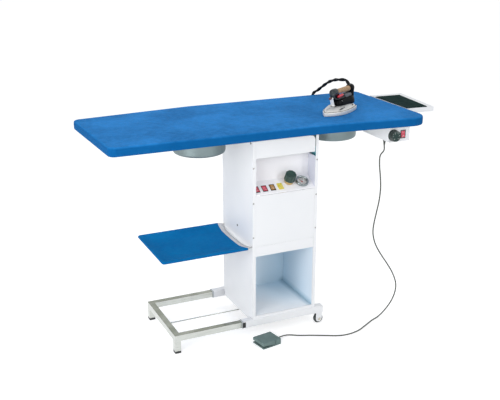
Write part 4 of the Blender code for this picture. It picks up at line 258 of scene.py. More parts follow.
def stack(mesh_data, rings, capped=True):
    """Join rings of points, each to the next, into one skin with closed ends."""
    rows = [[mesh_data.verts.new(point) for point in ring] for ring in rings]
    for first, second in zip(rows, rows[1:]):
        for i in range(len(first)):
            j = (i + 1) % len(first)
            mesh_data.faces.new((first[i], first[j], second[j], second[i]))
    if capped:
        mesh_data.faces.new(list(reversed(rows[0])))
        mesh_data.faces.new(rows[-1])


def sweep(mesh_data, points, section, twist=0.0):
    """Carry a section along a path without letting it roll. section gives the ring at a share."""
    last = len(points) - 1
    ahead = [(points[min(i + 1, last)] - points[max(i - 1, 0)]).normalized()
             for i in range(last + 1)]
    side = ahead[0].orthogonal().normalized()
    rings = []
    for index, point in enumerate(points):
        side = (side - ahead[index] * side.dot(ahead[index])).normalized()
        up = ahead[index].cross(side)
        turn = twist * index / last
        ring = []
        for a, b in section(index / last):
            x = a * math.cos(turn) - b * math.sin(turn)
            y = a * math.sin(turn) + b * math.cos(turn)
            ring.append(point + side * x + up * y)
        rings.append(ring)
    stack(mesh_data, rings)


def oval(wide, deep, squareness=1.0, count=24):
    """A ring of (a, b) points: round, or squarer where the squareness is below one."""
    ring = []
    for step in range(count):
        angle = 2 * math.pi * step / count
        c, s = math.cos(angle), math.sin(angle)
        ring.append((wide * math.copysign(abs(c) ** squareness, c),
                     deep * math.copysign(abs(s) ** squareness, s)))
    return ring


half_width, half_thickness, turns = 0.0070, 0.0046, 13
hose_mesh = bmesh.new()
sweep(hose_mesh, hose_points, lambda share: oval(half_width, half_thickness),
      twist=2 * math.pi * turns)
rubber_sleeve = moulded("rubber_sleeve", (0.002, 0.0025, 0.004), (0.006, 0.007, 0.009),
                        0.55, 700.0, 0.00015, 0.08)
hose = piece("steam_hose_sleeve", hose_mesh, rubber_sleeve, None, ["steam_hose"],
             60)
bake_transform(hose)


# Base. Two square steel rails, welded under the cabinet floor and powder coated white, each
# with a folded fork for a wheel at its right end and a grey guide bush in its open left end.
def dress(name, finish, width=0.0, segments=2, angle=32.0):
    """Give a CAD node its real finish, and soften its edges by a bend or a moulded radius."""
    node = nodes[name]
    for material_slot in node.material_slots:
        material_slot.material = finish
    if width:
        weld = node.modifiers.new("weld", "WELD")
        weld.merge_threshold = 0.00002
        flat = node.modifiers.new("flat", "DECIMATE")
        flat.decimate_type = "DISSOLVE"
        flat.angle_limit = math.radians(1.0)
        soft = node.modifiers.new("soft", "BEVEL")
        soft.width = width
        soft.segments = segments
        soft.limit_method = "ANGLE"
        soft.angle_limit = math.radians(angle)
        soft.harden_normals = True
        soft.use_clamp_overlap = True


def orange_peel(tree, shader, sleek, dull):
    """The fine waves of baked powder coat, and its slight differences in gloss."""
    place = object_place(tree)
    vary_roughness(tree, shader, cloud(tree, place, 14.0, 3.0), sleek, dull)
    raise_by(tree, shader, cloud(tree, place, 420.0, 1.5, 0.2, 0.8), 0.00004)


def powder_coat(name, first, second):
    """Baked powder coat in two close tones."""
    made, tree, shader = new_finish(name, first, 0.42)
    two_tones(tree, shader, cloud(tree, object_place(tree), 4.5, 2.0), first, second)
    orange_peel(tree, shader, 0.37, 0.49)
    shader.inputs["Specular IOR Level"].default_value = 0.45
    return made


def round_off(points, radius, steps=4, closed=False):
    """Turn the corners of a flat line of points into small curves."""
    flat = [Vector(point) for point in points]
    made = []
    last = len(flat) - 1
    for index, corner in enumerate(flat):
        if not closed and index in (0, last):
            made.append(corner)
            continue
        before = flat[index - 1] - corner
        after = flat[(index + 1) % len(flat)] - corner
        start = corner + before.normalized() * min(radius, before.length * 0.48)
        end = corner + after.normalized() * min(radius, after.length * 0.48)
        for step in range(steps + 1):
            s = step / steps
            made.append(start * (1 - s) ** 2 + corner * 2 * s * (1 - s) + end * s * s)
    return made


def lathe(mesh_data, profile, place, segments=64, closed=False, wave=None):
    """Turn (radius, height) points about the Z axis of a placing matrix."""
    rows = []
    for radius, height in profile:
        if radius < 0.000001:
            rows.append([mesh_data.verts.new(place @ Vector((0, 0, height)))])
            continue
        row = []
        for step in range(segments):
            angle = 2 * math.pi * step / segments
            reach = radius - (wave(angle, height) if wave else 0.0)
            spot = Vector((reach * math.cos(angle), reach * math.sin(angle), height))
            row.append(mesh_data.verts.new(place @ spot))
        rows.append(row)
    pairs = list(zip(rows, rows[1:]))
    if closed:
        pairs.append((rows[-1], rows[0]))
    for low, high in pairs:
        for i in range(segments):
            j = (i + 1) % segments
            if len(low) == 1 and len(high) == 1:
                continue
            if len(low) == 1:
                mesh_data.faces.new((low[0], high[j], high[i]))
            elif len(high) == 1:
                mesh_data.faces.new((low[i], low[j], high[0]))
            else:
                mesh_data.faces.new((low[i], low[j], high[j], high[i]))


def facing(origin, axis):
    """A placing matrix with its Z axis along a direction."""
    return Matrix.Translation(origin) @ Vector(axis).to_track_quat("Z", "Y").to_matrix().to_4x4()


white_tones = (0.800, 0.812, 0.835), (0.825, 0.836, 0.855)
white_coat = powder_coat("white_powder_coat", *white_tones)
black_nylon = moulded("black_nylon", (0.016, 0.018, 0.019), (0.026, 0.028, 0.029), 0.42)
grey_nylon = moulded("grey_nylon", (0.42, 0.45, 0.47), (0.50, 0.53, 0.55), 0.45)
for side in ("front", "back"):
    dress(f"{side}_rail", white_coat, 0.0014, 3)
    dress(f"rail_bushing_{side}", grey_nylon, 0.0006)
    dress(f"foot_{side}", black_nylon, 0.0010, 3)


def rectangle(left, right, bottom, top):
    return [(left, bottom), (right, bottom), (right, top), (left, top)]


clamp_line = round_off(rectangle(-0.1800, -0.1665, 0.0545, 0.0775), 0.0015, closed=True)
clamp = bmesh.new()
stack(clamp, [[(x, y, z) for x, z in clamp_line] for y in (-0.1500, -0.1524)])
piece("rail_clamp", clamp, black_nylon, "table")


# Wheels. A hard rubber tyre on a nylon hub, which turns on a bolt through the fork and is
# held by a small zinc plated cap nut.
def stretched(tree, scale):
    """The place on the object, longer or shorter along each axis."""
    return add(tree, "ShaderNodeMapping", {
        "Vector": object_place(tree), "Scale": scale,
    }).outputs["Vector"]


def metal(name, colour, roughness, smear=30.0, stretch=(1.0, 1.0, 1.0), depth=0.00001):
    """Bare or plated metal, with wiping marks that change its gloss."""
    made, tree, shader = new_finish(name, colour, roughness, 1.0)
    place = object_place(tree)
    drawn = stretched(tree, stretch)
    darker = [channel * 0.90 for channel in colour]
    two_tones(tree, shader, cloud(tree, place, 9.0, 2.0), colour, darker)
    vary_roughness(tree, shader, cloud(tree, drawn, smear, 4.0), max(0.04, roughness - 0.06),
                   roughness + 0.09)
    raise_by(tree, shader, cloud(tree, drawn, smear * 14, 2.0), depth)
    return made


zinc_plate = metal("zinc_plate", (0.62, 0.59, 0.50), 0.30)
tyre_rubber = moulded("tyre_rubber", (0.020, 0.030, 0.029), (0.032, 0.043, 0.041), 0.55)
hub_nylon = moulded("hub_nylon", (0.58, 0.59, 0.59), (0.66, 0.67, 0.67), 0.40)
for side in ("front", "back"):
    low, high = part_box(f"wheel_{side}")
    middle = (low + high) / 2
    half = (high.y - low.y) / 2
    radius = (high.z - low.z) / 2
    turned = facing(middle, (0, 1, 0))
    body = f"wheel_{side}"
    tyre = bmesh.new()
    lathe(tyre, round_off([
        (radius * 0.66, -half * 0.80), (radius * 0.93, -half * 0.80), (radius, -half * 0.35),
        (radius, half * 0.35), (radius * 0.93, half * 0.80), (radius * 0.66, half * 0.80),
    ], 0.0016, closed=True), turned, 72, closed=True)
    piece(f"tyre_{side}", tyre, tyre_rubber, body, [body])
    hub = bmesh.new()
    lathe(hub, round_off([
        (0.0034, -half), (radius * 0.40, -half), (radius * 0.46, -half * 0.55),
        (radius * 0.62, -half * 0.45), (radius * 0.69, -half * 0.72), (radius * 0.69, half * 0.72),
        (radius * 0.62, half * 0.45), (radius * 0.46, half * 0.55), (radius * 0.40, half),
        (0.0034, half),
    ], 0.0006, closed=True), turned, 64, closed=True)
    piece(f"hub_{side}", hub, hub_nylon, body, [body])
    fork_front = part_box(f"{side}_rail")[0].y
    nut_place = facing((middle.x, fork_front + 0.0016, middle.z), (0, -1, 0))
    nut = bmesh.new()
    lathe(nut, round_off([(0.0, -0.0003), (0.0060, -0.0003), (0.0060, 0.0028), (0.0, 0.0028)],
                         0.0005), nut_place, 6)
    lathe(nut, round_off([(0.0, 0.0022), (0.0046, 0.0022), (0.0042, 0.0048), (0.0, 0.0066)],
                         0.0016), nut_place, 40)
    piece(f"axle_nut_{side}", nut, zinc_plate, "table")


# Sliding frame. Chrome plated square tube, mitred and welded, with a round guide rod under
# it. It slides in the bushes and stands on two black nylon feet.
chrome = metal("bright_chrome", (0.66, 0.67, 0.66), 0.13, 26.0, (1.0, 6.0, 6.0))
chrome_with_painted_reflections, tree, shader = new_finish("chrome_tube_painted_reflections", (0.66, 0.66, 0.62), 0.16, 1.0)


def compute(tree, operation, *values):
    return add(tree, "ShaderNodeMath", dict(enumerate(values)), operation=operation).outputs[0]


def spot_in(tree, axis):
    """How far along an axis the spot lies."""
    return add(tree, "ShaderNodeSeparateXYZ", {0: object_place(tree)}).outputs[axis]


def way_of(tree, axis):
    """How much the surface faces along an axis: one along it, and minus one against it."""
    normal = add(tree, "ShaderNodeNewGeometry").outputs["Normal"]
    return add(tree, "ShaderNodeSeparateXYZ", {0: normal}).outputs[axis]


# Painted reflection: the upward faces at the tube's top height are painted dark, and painted dark
# streaks run over the whole frame.
painted_dark_top = ramp(tree, way_of(tree, "Z"), 0.35, 0.95, 0.0, 0.92)
on_tube = ramp(tree, spot_in(tree, "Z"), 0.0765, 0.0780)
painted_reflection_streaks = cloud(tree, stretched(tree, (3.0, 3.0, 60.0)), 5.0, 3.0, 0.38, 0.62, -0.16, 0.16)
reflection_tone = compute(tree, "ADD", compute(tree, "MULTIPLY", painted_dark_top, on_tube), painted_reflection_streaks)
two_tones(tree, shader, reflection_tone, (0.595, 0.610, 0.575), (0.250, 0.270, 0.225))
vary_roughness(tree, shader, cloud(tree, object_place(tree), 24.0, 3.0), 0.10, 0.24)
dress("extension_frame", chrome_with_painted_reflections, 0.0016, 3)


# Cabinet. Folded sheet steel, powder coated white: two sides, the right one painted teal inside
# at its top as painted shade, a front panel, a fascia with a grey bead round its corner as a
# painted shadow line, a back with air slots and a floor, held by small pan head screws.
def flat_distance(tree, plane, spot):
    """How far the surface is from a spot, without the axis that the plane leaves out."""
    return add(tree, "ShaderNodeVectorMath", {
        0: stretched(tree, plane), 1: spot,
    }, operation="DISTANCE").outputs["Value"]


for name in ("left_panel", "back_panel", "base_plate", "top_plate", "front_panel"):
    dress(name, white_coat, 0.0008)

# Painted shade inside the cubby: bluer and darker towards its back right corner, darker on its
# right wall and darkest along the edge of the floor and the right wall. The front faces stay white.
box_coat, tree, shader = new_finish("shaded_box_coat", (0.72, 0.77, 0.85), 0.40)
low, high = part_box("cubby_liner")
painted_back_corner_shade = ramp(tree, flat_distance(tree, (1.0, 1.0, 0.0), (high.x, high.y, 0.0)), 0.27, 0.02)
patches = cloud(tree, object_place(tree), 6.0, 2.0, 0.3, 0.7, -0.06, 0.06)
inner = mixed(tree, compute(tree, "ADD", painted_back_corner_shade, patches),
              (0.945, 0.960, 0.985), (0.680, 0.860, 0.985))
painted_right_wall_shade = ramp(tree, way_of(tree, "X"), -0.35, -0.85, 0.0, 0.60)
inner = mixed(tree, painted_right_wall_shade, inner, (0.540, 0.690, 0.830))
shade_distance_from_floor_edge = flat_distance(tree, (1.0, 0.0, 1.0), (high.x, 0.0, low.z))
inner = mixed(tree, ramp(tree, shade_distance_from_floor_edge, 0.028, 0.002, 0.0, 0.70), inner, (0.240, 0.420, 0.540))
outer = ramp(tree, spot_in(tree, "Y"), -0.1415, -0.1435)
two_tones(tree, shader, outer, inner, (0.812, 0.823, 0.845))
orange_peel(tree, shader, 0.36, 0.48)

# Painted shade in the recess: its right cheek, which faces left, is painted a darker lavender.
recess_coat_painted_shade, tree, shader = new_finish("recess_coat_painted_shade", (0.86, 0.86, 0.90), 0.40)
painted_cheek_shade = ramp(tree, way_of(tree, "X"), -0.35, -0.85, 0.0, 0.92)
patches = cloud(tree, object_place(tree), 9.0, 3.0, 0.3, 0.7, -0.05, 0.05)
two_tones(tree, shader, compute(tree, "ADD", painted_cheek_shade, patches),
          (0.925, 0.920, 0.950), (0.600, 0.620, 0.715))
orange_peel(tree, shader, 0.36, 0.48)
dress("control_recess", recess_coat_painted_shade, 0.0008)

# Painted shade: the right side's inner face above the recess is painted teal.
right_coat_painted_teal_shade = powder_coat("right_side_painted_teal_shade", *white_tones)
tree = right_coat_painted_teal_shade.node_tree
shader = tree.nodes["Principled BSDF"]
painted = shader.inputs["Base Color"].links[0].from_socket
inward = ramp(tree, way_of(tree, "X"), -0.5, -0.9, 0.0, 0.95)
upper = ramp(tree, spot_in(tree, "Z"), 0.700, 0.705)
two_tones(tree, shader, compute(tree, "MULTIPLY", inward, upper), painted, (0.090, 0.420, 0.500))
dress("right_panel", right_coat_painted_teal_shade, 0.0008)


def arc(x, z, radius, start, end, steps, rise=None):
    """Points of an arc about (x, z), from a start to an end in degrees."""
    turns = [math.radians(start + (end - start) * step / steps) for step in range(steps + 1)]
    return [(x + radius * math.cos(turn), z + (rise or radius) * math.sin(turn)) for turn in turns]


low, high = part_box("fascia")
corner_radius = 0.024
left, right, top = low.x + 0.0002, high.x - 0.0024, high.z - 0.0006
plate = [Vector(point) for point in (
    (left, low.z), (right, low.z),
    *arc(right - corner_radius, top - corner_radius, corner_radius, 0, 90, 12), (left, top),
)]
fascia_mesh = bmesh.new()
middle_point = sum(plate, Vector((0, 0))) / len(plate)
stack(fascia_mesh, [
    [(point.x - math.copysign(trim, point.x - middle_point.x), y,
      point.y - math.copysign(trim, point.y - middle_point.y)) for point in plate]
    for y, trim in ((low.y + 0.0016, 0.0), (low.y + 0.0006, 0.0), (low.y, 0.0006))
])
lip = Matrix.Translation(((low.x + high.x) / 2, (low.y + high.y) / 2, low.z + 0.0006))
lip_size = Matrix.Diagonal((high.x - low.x - 0.0050, high.y - low.y - 0.0030, 0.0012, 1.0))
bmesh.ops.create_cube(fascia_mesh, size=1.0, matrix=lip @ lip_size)
piece("fascia_sheet", fascia_mesh, white_coat, "table", ["fascia"])
# A grey bead round the fascia's rounded corner, as a painted shadow line in the seam.
shadow_line_y, shadow_line_top, shadow_line_corner = low.y - 0.0002, 0.8345, 0.0185
shadow_line_path = [
    (0.1180, shadow_line_top), *arc(0.1225, shadow_line_top - shadow_line_corner, shadow_line_corner, 90, 0, 12),
    (0.1225 + shadow_line_corner, 0.7880),
]
bead = bmesh.new()
sweep(bead, [Vector((x, shadow_line_y, z)) for x, z in shadow_line_path],
      lambda share: oval(0.0013, 0.0013, count=12))
shadow_line_grey = moulded("grey_painted_shadow_line", (0.170, 0.190, 0.200), (0.240, 0.260, 0.270), 0.6)
piece("fascia_painted_shadow_line", bead, shadow_line_grey, "table")
dress("cubby_liner", box_coat, 0.0006)


def geometry_tree(name, inputs):
    """A geometry tree with named inputs, given as (kind, name, value)."""
    tree = bpy.data.node_groups.new(name, "GeometryNodeTree")
    tree.interface.new_socket(name="Geometry", in_out="OUTPUT", socket_type="NodeSocketGeometry")
    for kind, label, value in inputs:
        socket = tree.interface.new_socket(
            name=label, in_out="INPUT", socket_type="NodeSocket" + kind)
        if value is not None:
            socket.default_value = value
    return tree, add(tree, "NodeGroupInput").outputs


def end_tree(tree, geometry, finish):
    """End a tree in Realize Instances and Set Material."""
    whole = add(tree, "GeometryNodeRealizeInstances", {"Geometry": geometry})
    painted = add(tree, "GeometryNodeSetMaterial", {
        "Geometry": whole.outputs["Geometry"], "Material": finish,
    })
    exit_node = add(tree, "NodeGroupOutput")
    tree.links.new(painted.outputs["Geometry"], exit_node.inputs["Geometry"])


def grow(name, tree, carrier_mesh, values, body, place=None):
    """Run a geometry tree on a carrier mesh and keep what grows as one plain mesh."""
    carrier = linked(name + "_carrier", carrier_mesh)
    modifier = carrier.modifiers.new("grow", "NODES")
    modifier.node_group = tree
    sockets = {
        item.name: item.identifier for item in tree.interface.items_tree
        if item.item_type == "SOCKET" and item.in_out == "INPUT"
    }
    for label, value in values.items():
        modifier[sockets[label]] = value
    graph = bpy.context.evaluated_depsgraph_get()
    mesh = bpy.data.meshes.new_from_object(carrier.evaluated_get(graph), depsgraph=graph)
    mesh.name = name
    bpy.data.objects.remove(carrier)
    if place is not None:
        mesh.transform(place)
    made = linked(name, mesh)
    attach(made, body)
    return made


def carrier(name, places):
    """A mesh of points, each with the turn that its copy takes. places holds matrices."""
    mesh = bpy.data.meshes.new(name)
    mesh.from_pydata([list(place.translation) for place in places], [], [])
    aim = mesh.attributes.new("aim", "FLOAT_VECTOR", "POINT")
    for index, place in enumerate(places):
        aim.data[index].vector = place.to_euler()
    return mesh


screw_tree, given = geometry_tree("pan_head_screws", [
    ("Geometry", "Geometry", None), ("Float", "Head Radius", 0.0035),
    ("Float", "Head Height", 0.0022), ("Float", "Slot Width", 0.0009),
    ("Material", "Finish", None),
])
ball = add(screw_tree, "GeometryNodeMeshUVSphere", {"Segments": 20, "Rings": 12, "Radius": 1.0})
squeeze = add(screw_tree, "ShaderNodeCombineXYZ", {
    "X": given["Head Radius"], "Y": given["Head Radius"], "Z": given["Head Height"],
})
dome = add(screw_tree, "GeometryNodeTransform", {
    "Geometry": ball.outputs["Mesh"], "Scale": squeeze.outputs["Vector"],
})
recessed = add(screw_tree, "GeometryNodeMeshBoolean", {"Mesh 1": dome.outputs["Geometry"]},
               operation="DIFFERENCE")
reach = compute(screw_tree, "MULTIPLY", given["Head Radius"], 1.25)
for along, across in ("XY", "YX"):
    size = add(screw_tree, "ShaderNodeCombineXYZ", {
        along: reach, across: given["Slot Width"], "Z": given["Head Height"],
    })
    bar = add(screw_tree, "GeometryNodeMeshCube", {"Size": size.outputs["Vector"]})
    lift = add(screw_tree, "ShaderNodeCombineXYZ", {"Z": given["Head Height"]})
    cutter = add(screw_tree, "GeometryNodeTransform", {
        "Geometry": bar.outputs["Mesh"], "Translation": lift.outputs["Vector"],
    })
    screw_tree.links.new(cutter.outputs["Geometry"], recessed.inputs["Mesh 2"])
aims = add(screw_tree, "GeometryNodeInputNamedAttribute", {"Name": "aim"}, data_type="FLOAT_VECTOR")
turns = add(screw_tree, "FunctionNodeEulerToRotation", {0: aims.outputs[0]})
screws = add(screw_tree, "GeometryNodeInstanceOnPoints", {
    "Points": given["Geometry"], "Instance": recessed.outputs["Mesh"],
    "Rotation": turns.outputs["Rotation"],
})
end_tree(screw_tree, screws.outputs["Instances"], given["Finish"])


def screw_row(name, spots, body, finish, radius=0.0035, height=0.0022):
    """Screws at (place, way the head faces, turn of the slot)."""
    places = [facing(spot, axis) @ Matrix.Rotation(turn, 4, "Z") for spot, axis, turn in spots]
    grow(name, screw_tree, carrier(name + "_spots", places), {
        "Head Radius": radius, "Head Height": height, "Finish": finish,
    }, body)


screw_steel = metal("screw_steel", (0.42, 0.42, 0.41), 0.32)
front_y, back_y = -0.1460, 0.1595
back_heights = (0.160, 0.330, 0.500, 0.670, 0.830)
cabinet_spots = []
turn = 0.4
for x, y, heights in (
    (-0.1295, front_y, (0.729, 0.584, 0.440)), (0.1495, front_y, (0.732, 0.5855, 0.441)),
    (-0.124, back_y, back_heights), (0.1475, back_y, back_heights),
):
    for height in heights:
        turn += 1.1
        cabinet_spots.append(((x, y, height), (0, math.copysign(1, y), 0), turn))
screw_row("cabinet_screws", cabinet_spots, "table", screw_steel)
grommet = bmesh.new()
lathe(grommet, round_off([
    (0.0, -0.0030), (0.0027, -0.0030), (0.0027, 0.0004), (0.0044, 0.0004), (0.0046, 0.0011),
    (0.0036, 0.0015), (0.0022, 0.0010), (0.0, 0.0009),
], 0.0003, 3), facing((-0.1325, 0.0060, 0.4440), (-1, 0, 0)), 32)
piece("cable_hole_grommet", grommet, black_nylon, "table")
plug = bmesh.new()
plug_place = facing((-0.1325, -0.1250, 0.8277), (-1, 0, 0)) @ Matrix.Rotation(math.pi / 2, 4, "Z")
plug_line = round_off(rectangle(-0.0066, 0.0066, -0.0022, 0.0022), 0.0015, closed=True)
stack(plug, [[plug_place @ Vector((a * k, b * k, h)) for a, b in plug_line]
             for k, h in ((1.0, -0.0024), (1.0, 0.0002), (0.86, 0.0006))])
piece("slot_plug", plug, black_nylon, "table")


# Boiler and steam line. A steel tank with a screwed-in heating element, a brass valve block
# with its coil, and an outlet with a union nut in the back of the cabinet.
tank_steel = metal("brushed_tank_steel", (0.50, 0.52, 0.53), 0.36, 22.0, (8.0, 8.0, 1.0))
galvanised = metal("galvanised_sheet", (0.42, 0.46, 0.47), 0.46, 18.0)
brass = metal("turned_brass", (0.62, 0.45, 0.21), 0.26, 40.0)
dress("boiler_tank", tank_steel, 0.0010)
dress("boiler_heater", galvanised, 0.0005)
dress("steam_valve", brass, 0.0006)
low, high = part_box("hose_outlet")
outlet_place = facing((hose_outlet.x, low.y, hose_outlet.z), (0, 1, 0))
outlet = bmesh.new()
lathe(outlet, round_off([
    (0.0038, 0.0), (0.0100, 0.0), (0.0100, 0.0090), (0.0086, 0.0100), (0.0086, 0.0118),
    (0.0078, 0.0126), (0.0086, 0.0142), (0.0078, 0.0158), (0.0086, 0.0174), (0.0074, 0.0200),
    (0.0062, high.y - low.y), (0.0038, high.y - low.y),
], 0.0004, 3, closed=True), outlet_place, 48, closed=True)
lathe(outlet, round_off([
    (0.0082, 0.0004), (0.0165, 0.0004), (0.0165, 0.0078), (0.0082, 0.0078),
], 0.0006, closed=True), outlet_place, 6, closed=True)
piece("outlet_union", outlet, brass, "table", ["hose_outlet"])


# Control panel. A sloping panel pressed into the recess holds three rocker switches in
# black bezels, a yellow lamp, the brass filler neck with its screw cap and the gauge.
slope = Matrix.Translation((0.0115, -0.1460, 0.6180)) @ Matrix.Rotation(math.radians(30), 4, "X")
dress("switch_bank", black_nylon, 0.0005)


def tinted(name, deep, bright, roughness=0.22, ribs=0.0):
    """Clear tinted plastic over a lamp: glossy, in two close tones, ribbed if asked."""
    made, tree, shader = new_finish(name, deep, roughness)
    place = object_place(tree)
    two_tones(tree, shader, cloud(tree, place, 130.0, 2.0), deep, bright)
    vary_roughness(tree, shader, cloud(tree, place, 90.0), roughness - 0.05, roughness + 0.08)
    shader.inputs["Coat Weight"].default_value = 0.5
    shader.inputs["Coat Roughness"].default_value = 0.12
    raise_by(tree, shader, cloud(tree, place, 600.0), 0.00002)
    if ribs:
        lines = add(tree, "ShaderNodeTexWave", {"Vector": place, "Scale": ribs},
                    bands_direction="X")
        raise_by(tree, shader, lines.outputs["Fac"], 0.0003, 0.8)
    return made


lit_red = tinted("red_rocker_plastic", (0.600, 0.032, 0.068), (0.780, 0.110, 0.165))
lit_orange = tinted("amber_rocker_plastic", (0.340, 0.150, 0.035), (0.500, 0.260, 0.060))
lit_yellow = tinted("yellow_lens", (0.730, 0.590, 0.040), (0.840, 0.740, 0.200), 0.20, 160.0)
mark_paint = moulded("white_marking", (0.74, 0.74, 0.72), (0.80, 0.80, 0.78), 0.45)


def rocker(name, place, width, length, finish, body):
    """A rocker cap with a dished top, and a bar and a ring as its on and off marks."""
    half, side, edge = length / 2, width / 2, 0.0005
    crest, dish, mark_share = 0.0022, 0.0013, 0.55
    outline = []
    for step in range(15):
        share = -1 + 2 * step / 14
        outline.append((half * share, crest + dish * share * share))
    outline += [(half, -0.0002), (half * 0.55, -0.0030), (-half * 0.55, -0.0030), (-half, -0.0002)]
    place = place @ Matrix.Rotation(math.radians(-8), 4, "X")
    cap = bmesh.new()
    stack(cap, [
        [place @ Vector((x, y * (1 - shrink / half), z - math.copysign(shrink, z)))
         for y, z in outline]
        for x, shrink in ((-side, edge), (edge - side, 0.0), (side - edge, 0.0), (side, edge))
    ])
    piece(name + "_cap", cap, finish, body, [body], 40)
    marks = bmesh.new()
    top = crest + dish * 0.30
    bar = Matrix.Translation((0, half * mark_share, top))
    bar = bar @ Matrix.Diagonal((0.0009, 0.0042, 0.0003, 1.0))
    bmesh.ops.create_cube(marks, size=1.0, matrix=place @ bar)
    lathe(marks, rectangle(0.0014, 0.0021, -0.00015, 0.00015),
          place @ Matrix.Translation((0, -half * mark_share, top)), 28, closed=True)
    piece(name + "_marks", marks, mark_paint, body)


pitch = 0.0346
for index, finish in enumerate((lit_red, lit_red, lit_orange)):
    spot = slope @ Matrix.Translation((-0.1170 + index * pitch, 0.0280, 0.0))
    rocker(f"rocker_{index + 1}", spot, 0.0166, 0.0252, finish, f"rocker_{index + 1}")
dress("pilot_lamp", lit_yellow, 0.0008, 3)

cap_place = slope @ Matrix.Translation((0.0320, 0.0460, 0.0))
neck = bmesh.new()
lathe(neck, round_off([
    (0.0092, -0.0750), (0.0128, -0.0750), (0.0128, 0.0006), (0.0165, 0.0006), (0.0190, 0.0012),
    (0.0190, 0.0100), (0.0202, 0.0110), (0.0202, 0.0134), (0.0184, 0.0144), (0.0140, 0.0146),
    (0.0128, 0.0150), (0.0128, 0.0260), (0.0092, 0.0260),
], 0.0005, 3, closed=True), cap_place, 64, closed=True)
piece("brass_neck", neck, brass, "table", ["filler_neck"])


def flutes(count, depth, bottom, rise, top, fall, sharpness=1.0):
    """Grip flutes round a turned piece, which fade out at its two edges."""
    def cut(angle, height):
        lobes = (0.5 + 0.5 * math.cos(count * angle)) ** sharpness
        start = min(1.0, max(0.0, (height - bottom) / rise))
        return depth * lobes * min(1.0, max(0.0, (top - height) / fall)) * start
    return cut


cap_plastic = moulded("green_black_phenolic", (0.014, 0.042, 0.034), (0.026, 0.066, 0.054), 0.34)
filler = bmesh.new()
lathe(filler, [
    (0.0132, 0.0152), (0.0212, 0.0152), (0.0226, 0.0158), (0.0230, 0.0170), (0.0230, 0.0210),
    (0.0229, 0.0270), (0.0229, 0.0330), (0.0228, 0.0385), (0.0226, 0.0420), (0.0220, 0.0442),
    (0.0208, 0.0459), (0.0190, 0.0467), (0.0150, 0.0465), (0.0120, 0.0454), (0.0118, 0.0448),
    (0.0000, 0.0447), (0.0000, 0.0284), (0.0132, 0.0284),
], cap_place, 120, wave=flutes(10, 0.0034, 0.0160, 0.0020, 0.0474, 0.0040, 1.8))
piece("filler_screw_cap", filler, cap_plastic, "filler_cap", ["filler_cap"],
      38)


# Pressure gauge. A chrome bezel rolled over a glass, a white dial with printed ticks and
# numbers, and a red needle on a brass pin.
gauge_place = slope @ Matrix.Translation((0.0870, 0.0360, 0.0))
gauge_chrome = metal("dark_gauge_chrome", (0.330, 0.375, 0.380), 0.20, 40.0)
bezel = bmesh.new()
lathe(bezel, round_off([
    (0.0186, -0.0255), (0.0238, -0.0255), (0.0238, 0.0005), (0.0258, 0.0005), (0.0272, 0.0014),
    (0.0274, 0.0084), (0.0262, 0.0104), (0.0242, 0.0106), (0.0230, 0.0092), (0.0222, 0.0086),
    (0.0212, 0.0092), (0.0200, 0.0088), (0.0194, 0.0070), (0.0194, 0.0018), (0.0186, 0.0014),
], 0.0006, 3, closed=True), gauge_place, 80, closed=True)
piece("gauge_bezel", bezel, gauge_chrome, "table", ["gauge_body"])
dial_enamel = moulded("dial_enamel", (0.80, 0.765, 0.755), (0.84, 0.810, 0.800), 0.35)
dial = bmesh.new()
lathe(dial, [(0.0, -0.0250), (0.0184, -0.0250), (0.0192, 0.0010), (0.0192, 0.0020), (0.0, 0.0020)],
      gauge_place, 64)
piece("gauge_dial", dial, dial_enamel, "table", ["gauge_body"])
pin = bmesh.new()
lathe(pin, round_off([(0.0, 0.0016), (0.0013, 0.0016), (0.0013, 0.0042), (0.0, 0.0046)], 0.0004),
      gauge_place, 24)
piece("gauge_pin", pin, brass, "table")

tick_tree, given = geometry_tree("dial_ticks", [
    ("Geometry", "Geometry", None), ("Int", "Count", 11), ("Float", "Radius", 0.018),
    ("Float", "Sweep", 4.2), ("Float", "Start", 0.0),
    ("Vector", "Tick Size", (0.0004, 0.002, 0.0002)), ("Material", "Finish", None),
])
row = add(tick_tree, "GeometryNodeMeshLine", {"Count": given["Count"]}, mode="OFFSET")
index_of = add(tick_tree, "GeometryNodeInputIndex").outputs[0]
share = compute(tick_tree, "DIVIDE", index_of, compute(tick_tree, "SUBTRACT", given["Count"], 1.0))
swept = compute(tick_tree, "MULTIPLY_ADD", share, given["Sweep"], given["Start"])
spot = add(tick_tree, "ShaderNodeCombineXYZ", {
    "X": compute(tick_tree, "MULTIPLY", compute(tick_tree, "COSINE", swept), given["Radius"]),
    "Y": compute(tick_tree, "MULTIPLY", compute(tick_tree, "SINE", swept), given["Radius"]),
})
spread = add(tick_tree, "GeometryNodeSetPosition", {
    "Geometry": row.outputs["Mesh"], "Position": spot.outputs["Vector"],
})
upright_turn = compute(tick_tree, "ADD", swept, -math.pi / 2)
euler = add(tick_tree, "ShaderNodeCombineXYZ", {"Z": upright_turn})
turned = add(tick_tree, "FunctionNodeEulerToRotation", {0: euler.outputs["Vector"]})
bar = add(tick_tree, "GeometryNodeMeshCube", {"Size": given["Tick Size"]})
ticks = add(tick_tree, "GeometryNodeInstanceOnPoints", {
    "Points": spread.outputs["Geometry"], "Instance": bar.outputs["Mesh"],
    "Rotation": turned.outputs["Rotation"],
})
end_tree(tick_tree, ticks.outputs["Instances"], given["Finish"])


def tick_ring(name, place, body, finish, count, radius, sweep, start, size):
    """Ticks round a dial, over a sweep from a start in degrees."""
    grow(name, tick_tree, bpy.data.meshes.new(name + "_start"), {
        "Count": count, "Radius": radius, "Sweep": math.radians(sweep),
        "Start": math.radians(start), "Tick Size": size, "Finish": finish,
    }, body, place)


